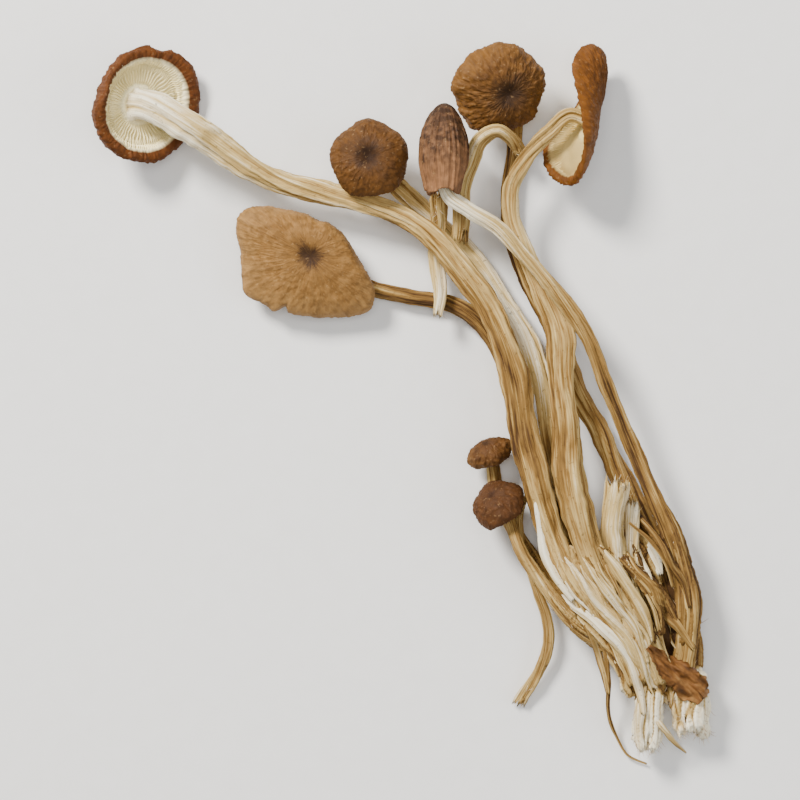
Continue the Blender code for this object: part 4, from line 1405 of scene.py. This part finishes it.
along_count, over_count = FLAKE_GRID
spine, spine_slopes = smooth_line([(x, y, 0.0) for x, y in FLAKE_SPINE], 0.15)
at = np.linspace(0, len(spine) - 1, along_count)
whole_steps = np.arange(len(spine))
middle = np.stack([np.interp(at, whole_steps, spine[:, k]) for k in (0, 1)], -1)
slope = unit(np.stack([np.interp(at, whole_steps, spine_slopes[:, k]) for k in (0, 1)], -1))
sideways = np.stack([-slope[:, 1], slope[:, 0]], -1)
half = half_widths(FLAKE_WIDTHS, along_count)
over = np.linspace(-1, 1, over_count)
reach = half[:, None] * over[None, :]
for side, seed in ((over > 0, 71), (over < 0, 72)):
    ragged = 1 + 0.16 * wander(along_count, 0.15, 1.3, seed)
    ragged = ragged + 0.10 * wander(along_count, 0.15, 0.5, seed + 10)
    reach = np.where(side[None, :], reach * ragged[:, None], reach)
plan = middle[:, None, :] + reach[..., None] * sideways[:, None, :]
high = np.array([[height_under(*spot) for spot in row] for row in plan])
high = np.where(np.isfinite(high), high, np.nanmin(high))
for _ in range(10):  # the flake bridges the foot's narrow grooves
    high[1:-1, 1:-1] = (
        high[:-2, 1:-1] + high[2:, 1:-1] + high[1:-1, :-2] + high[1:-1, 2:]
    ) / 4
rim = np.maximum(np.abs(over)[None, :], np.abs(np.linspace(-1, 1, along_count))[:, None])
crumple = 0.30 * np.sin(plan[..., 0] * 1.1 + 0.9 * np.sin(plan[..., 1] * 0.7))
crumple = crumple + 0.14 * np.sin(plan[..., 1] * 1.5 - plan[..., 0] * 0.9)
high = high + FLAKE_LIFT + crumple * (1 - 0.4 * rim) + FLAKE_CURL * rim**4 * (over > 0)[None, :]
half_thick = FLAKE_THICK / 2 * np.sqrt(np.clip((1 - rim) / 0.06, 0.0, 1))
sheets = [np.dstack([plan, high + sign * half_thick]).reshape(-1, 3) for sign in (1, -1)]

corner = np.arange(along_count * over_count).reshape(along_count, over_count)
quads = np.stack([corner[:-1, :-1], corner[1:, :-1], corner[1:, 1:], corner[:-1, 1:]], -1)
top_faces = quads.reshape(-1, 4)
rim_line = np.concatenate([corner[0, :], corner[1:, -1], corner[-1, -2::-1], corner[-2:0:-1, 0]])
under = np.arange(along_count * over_count) + along_count * over_count
under[rim_line] = rim_line  # both sheets share the rim
flake_faces = top_faces.tolist() + under[top_faces[:, ::-1]].tolist()
used = np.unique(np.array(flake_faces))
renumbered = np.zeros(2 * along_count * over_count, int)
renumbered[used] = np.arange(len(used))
flake_points = np.concatenate(sheets)[used]
flake = piece_of(
    "scrap_of_skin", flake_points, renumbered[np.array(flake_faces)].tolist(),
    {
        "grain": flake_points @ np.array(FLAKE_GRAIN).T,
        "size": np.full(len(used), 0.8 * MM),
        "torn": np.zeros(len(used)),
        "run": np.zeros((len(used), 3)),
        "underside": (used >= along_count * over_count).astype(float),
    },
)


def flake_material():
    """Skin like a cap's, red-brown with paler worn spots, with painted shade in its folds and a dark
    underside that is painted shade.
    """
    material, tree = new_material("scrap of skin", 0.7, 0.2)
    fibres, patches, _ = dry_grain(tree, 1.6, 1.0)
    # painted shade: the fold height darkens the creases, besides the patches of its own tone
    tone_and_painted_shade = maths(tree, "MULTIPLY", held(tree, "fold"), 0.5)
    tone_and_painted_shade = maths(tree, "MULTIPLY_ADD", patches, 0.5, tone_and_painted_shade)
    colour = ramp(
        tree, tone_and_painted_shade, (0.1, linear(72, 44, 18)), (0.45, linear(114, 74, 34)),
        (0.9, linear(156, 114, 66)),
    )
    # painted shade: the underside is made dark
    colour = mixed(tree, held(tree, "underside"), colour, linear(58, 38, 22))
    dull = maths(tree, "MULTIPLY_ADD", patches, 0.3, 0.55)
    surfaced(tree, colour, dull, fibres, Strength=0.4, Distance=0.0001)
    return material


made_plain(
    flake, DRYING_FOLDS, Swell=0.30, Folds=0.16, Fibres=0.07, Count=1.2,
    Finer=2.4, Lumps=0.08, Tear=0.0, Seed=9.0, Finish=flake_material(),
)
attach(flake, "root")


# Root threads. A thin brown root runs on from the foot past its torn end. Two fibres tore
# loose: one curls off over the prongs, and one lies along the right edge. All taper away.
THREADS = {
    # piece: route, full widths, paleness
    "root_thread": (
        ((-5.6, 9.4, 7.4), (-7.0, 3.0, 5.8), (-9.2, -2.2, 3.6), (-9.9, -6.6, 1.8),
         (-9.4, -10.6, 1.2), (-6.6, -13.6, 1.0)),
        (1.2, 0.9, 0.7, 0.5, 0.3), (0.3, 0.2, 0.4),
    ),
    "curled_fibre": (
        ((-3.0, -4.2, 6.2), (-2.3, -7.6, 6.9), (-1.2, -11.2, 5.6), (0.2, -14.4, 3.4)),
        (0.8, 1.2, 0.9, 0.3), (1.2, 0.8, 0.5),
    ),
    "loose_fibre": (
        ((6.9, 27.4, 10.6), (8.6, 23.4, 11.4), (9.6, 18.6, 11.0), (9.2, 13.8, 9.8)),
        (0.4, 0.7, 0.5), (0.2, 0.3, 0.5),
    ),
}

for number, (name, (route, widths, pale)) in enumerate(THREADS.items()):
    line = smooth_line(route, RING_STEP)
    half = half_widths(widths, len(line[0]))
    way = weathered(line, half, 0.7, 0.4 * number, 90 + number)
    thread = joined(name, [stalk(way, pale, torn_end=True, around=24)])
    made_plain(
        thread, DRYING_FOLDS, Swell=0.30, Folds=0.30, Fibres=0.10, Count=0.8,
        Finer=2.0, Lumps=0.3, Tear=1.0, Seed=0.0, Finish=STEM_FLESH,
    )
    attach(thread, "root")


# Frayed hairs. Where the flesh tore, single fibres stand out of it, mostly along the grain.
# They are pale and brittle, thinner than a thread, and a few stand on the whole skin too.
def hair_tree():
    """Grows short tapering hairs out of a skin, most where it is torn."""
    inputs = {"Base": "Geometry", "Skin": "Object", "Density": "Float", "Everywhere": "Float"}
    inputs |= {"Longest": "Float", "Spread": "Float", "Seed": "Int", "Finish": "Material"}
    tree, given = new_tree("frayed hairs", inputs, "Hairs")
    skin = add(tree, "GeometryNodeObjectInfo", {"Object": given["Skin"]}).outputs["Geometry"]
    amount = maths(tree, "ADD", carried(tree, "torn"), given["Everywhere"])
    amount = maths(tree, "MULTIPLY", amount, given["Density"])
    inputs = {"Mesh": skin, "Density": amount, "Seed": given["Seed"]}
    kind = "GeometryNodeDistributePointsOnFaces"
    spots = add(tree, kind, inputs, distribute_method="RANDOM").outputs
    stray = scattered(tree, (-1.0, -1.0, -1.0), (1.0, 1.0, 1.0), given["Seed"])
    stray = vector_maths(tree, "SCALE", stray, given["Spread"])
    way = vector_maths(tree, "ADD", carried(tree, "run", "FLOAT_VECTOR"), stray)
    way = vector_maths(tree, "ADD", way, vector_maths(tree, "SCALE", spots["Normal"], 0.35))
    turned = add(tree, "FunctionNodeAlignRotationToVector", {"Vector": way}, axis="Z").outputs[0]
    size = scattered(tree, 0.35, 1.0, maths(tree, "ADD", given["Seed"], 5.0))
    size = maths(tree, "MULTIPLY", size, given["Longest"])
    inputs = {"Resolution": 5, "Start": (0, 0, -0.1), "Middle": (0.02, 0, 0.6), "End": (0.3, 0.1, 1)}
    bend = add(tree, "GeometryNodeCurveQuadraticBezier", inputs).outputs[0]
    inputs = {"Resolution": 4, "Radius": 0.035}
    ring = add(tree, "GeometryNodeCurvePrimitiveCircle", inputs).outputs[0]
    along = add(tree, "GeometryNodeSplineParameter").outputs["Factor"]
    taper = maths(tree, "MULTIPLY_ADD", along, -0.8, 1.0)
    inputs = {"Curve": bend, "Profile Curve": ring, "Scale": taper, "Fill Caps": True}
    hair = add(tree, "GeometryNodeCurveToMesh", inputs).outputs[0]
    inputs = {"Points": spots["Points"], "Instance": hair, "Rotation": turned, "Scale": size}
    hairs = add(tree, "GeometryNodeInstanceOnPoints", inputs).outputs[0]
    return ended(tree, hairs, given["Finish"])


FRAYED_HAIRS = hair_tree()
hair_flesh, tree = new_material("frayed hairs", 0.8, 0.25)
place = add(tree, "ShaderNodeTexCoord").outputs["Object"]
cloud = noise(tree, place, 700.0, 2.0)
colour = ramp(tree, cloud, (0.38, linear(150, 108, 64)), (0.62, linear(238, 222, 190)))
surfaced(tree, colour, maths(tree, "MULTIPLY_ADD", cloud, 0.2, 0.7))

HAIRY = {
    # piece: hairs per square metre where torn, share of that elsewhere, longest, slot
    "dried_foot": (9.0e5, 0.10, 0.0017, "foot"),
    "dried_broken_stem_1": (9.0e5, 0.03, 0.0014, "broken_stem"),
    "dried_broken_stem_2": (9.0e5, 0.03, 0.0014, "broken_stem"),
    "dried_torn_branch": (6.0e5, 0.03, 0.0014, "torn_flesh"),
    "dried_torn_stem": (6.0e5, 0.03, 0.0014, "torn_flesh"),
    "dried_torn_strand": (6.0e5, 0.05, 0.0014, "torn_flesh"),
}
for number, (name, (density, everywhere, longest, slot)) in enumerate(HAIRY.items()):
    hairs = sprout(name.replace("dried", "hairs_of"))
    made_plain(
        hairs, FRAYED_HAIRS, Skin=bpy.data.objects[name], Density=density,
        Everywhere=everywhere, Longest=longest, Spread=0.7, Seed=number, Finish=hair_flesh,
    )
    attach(hairs, "root")
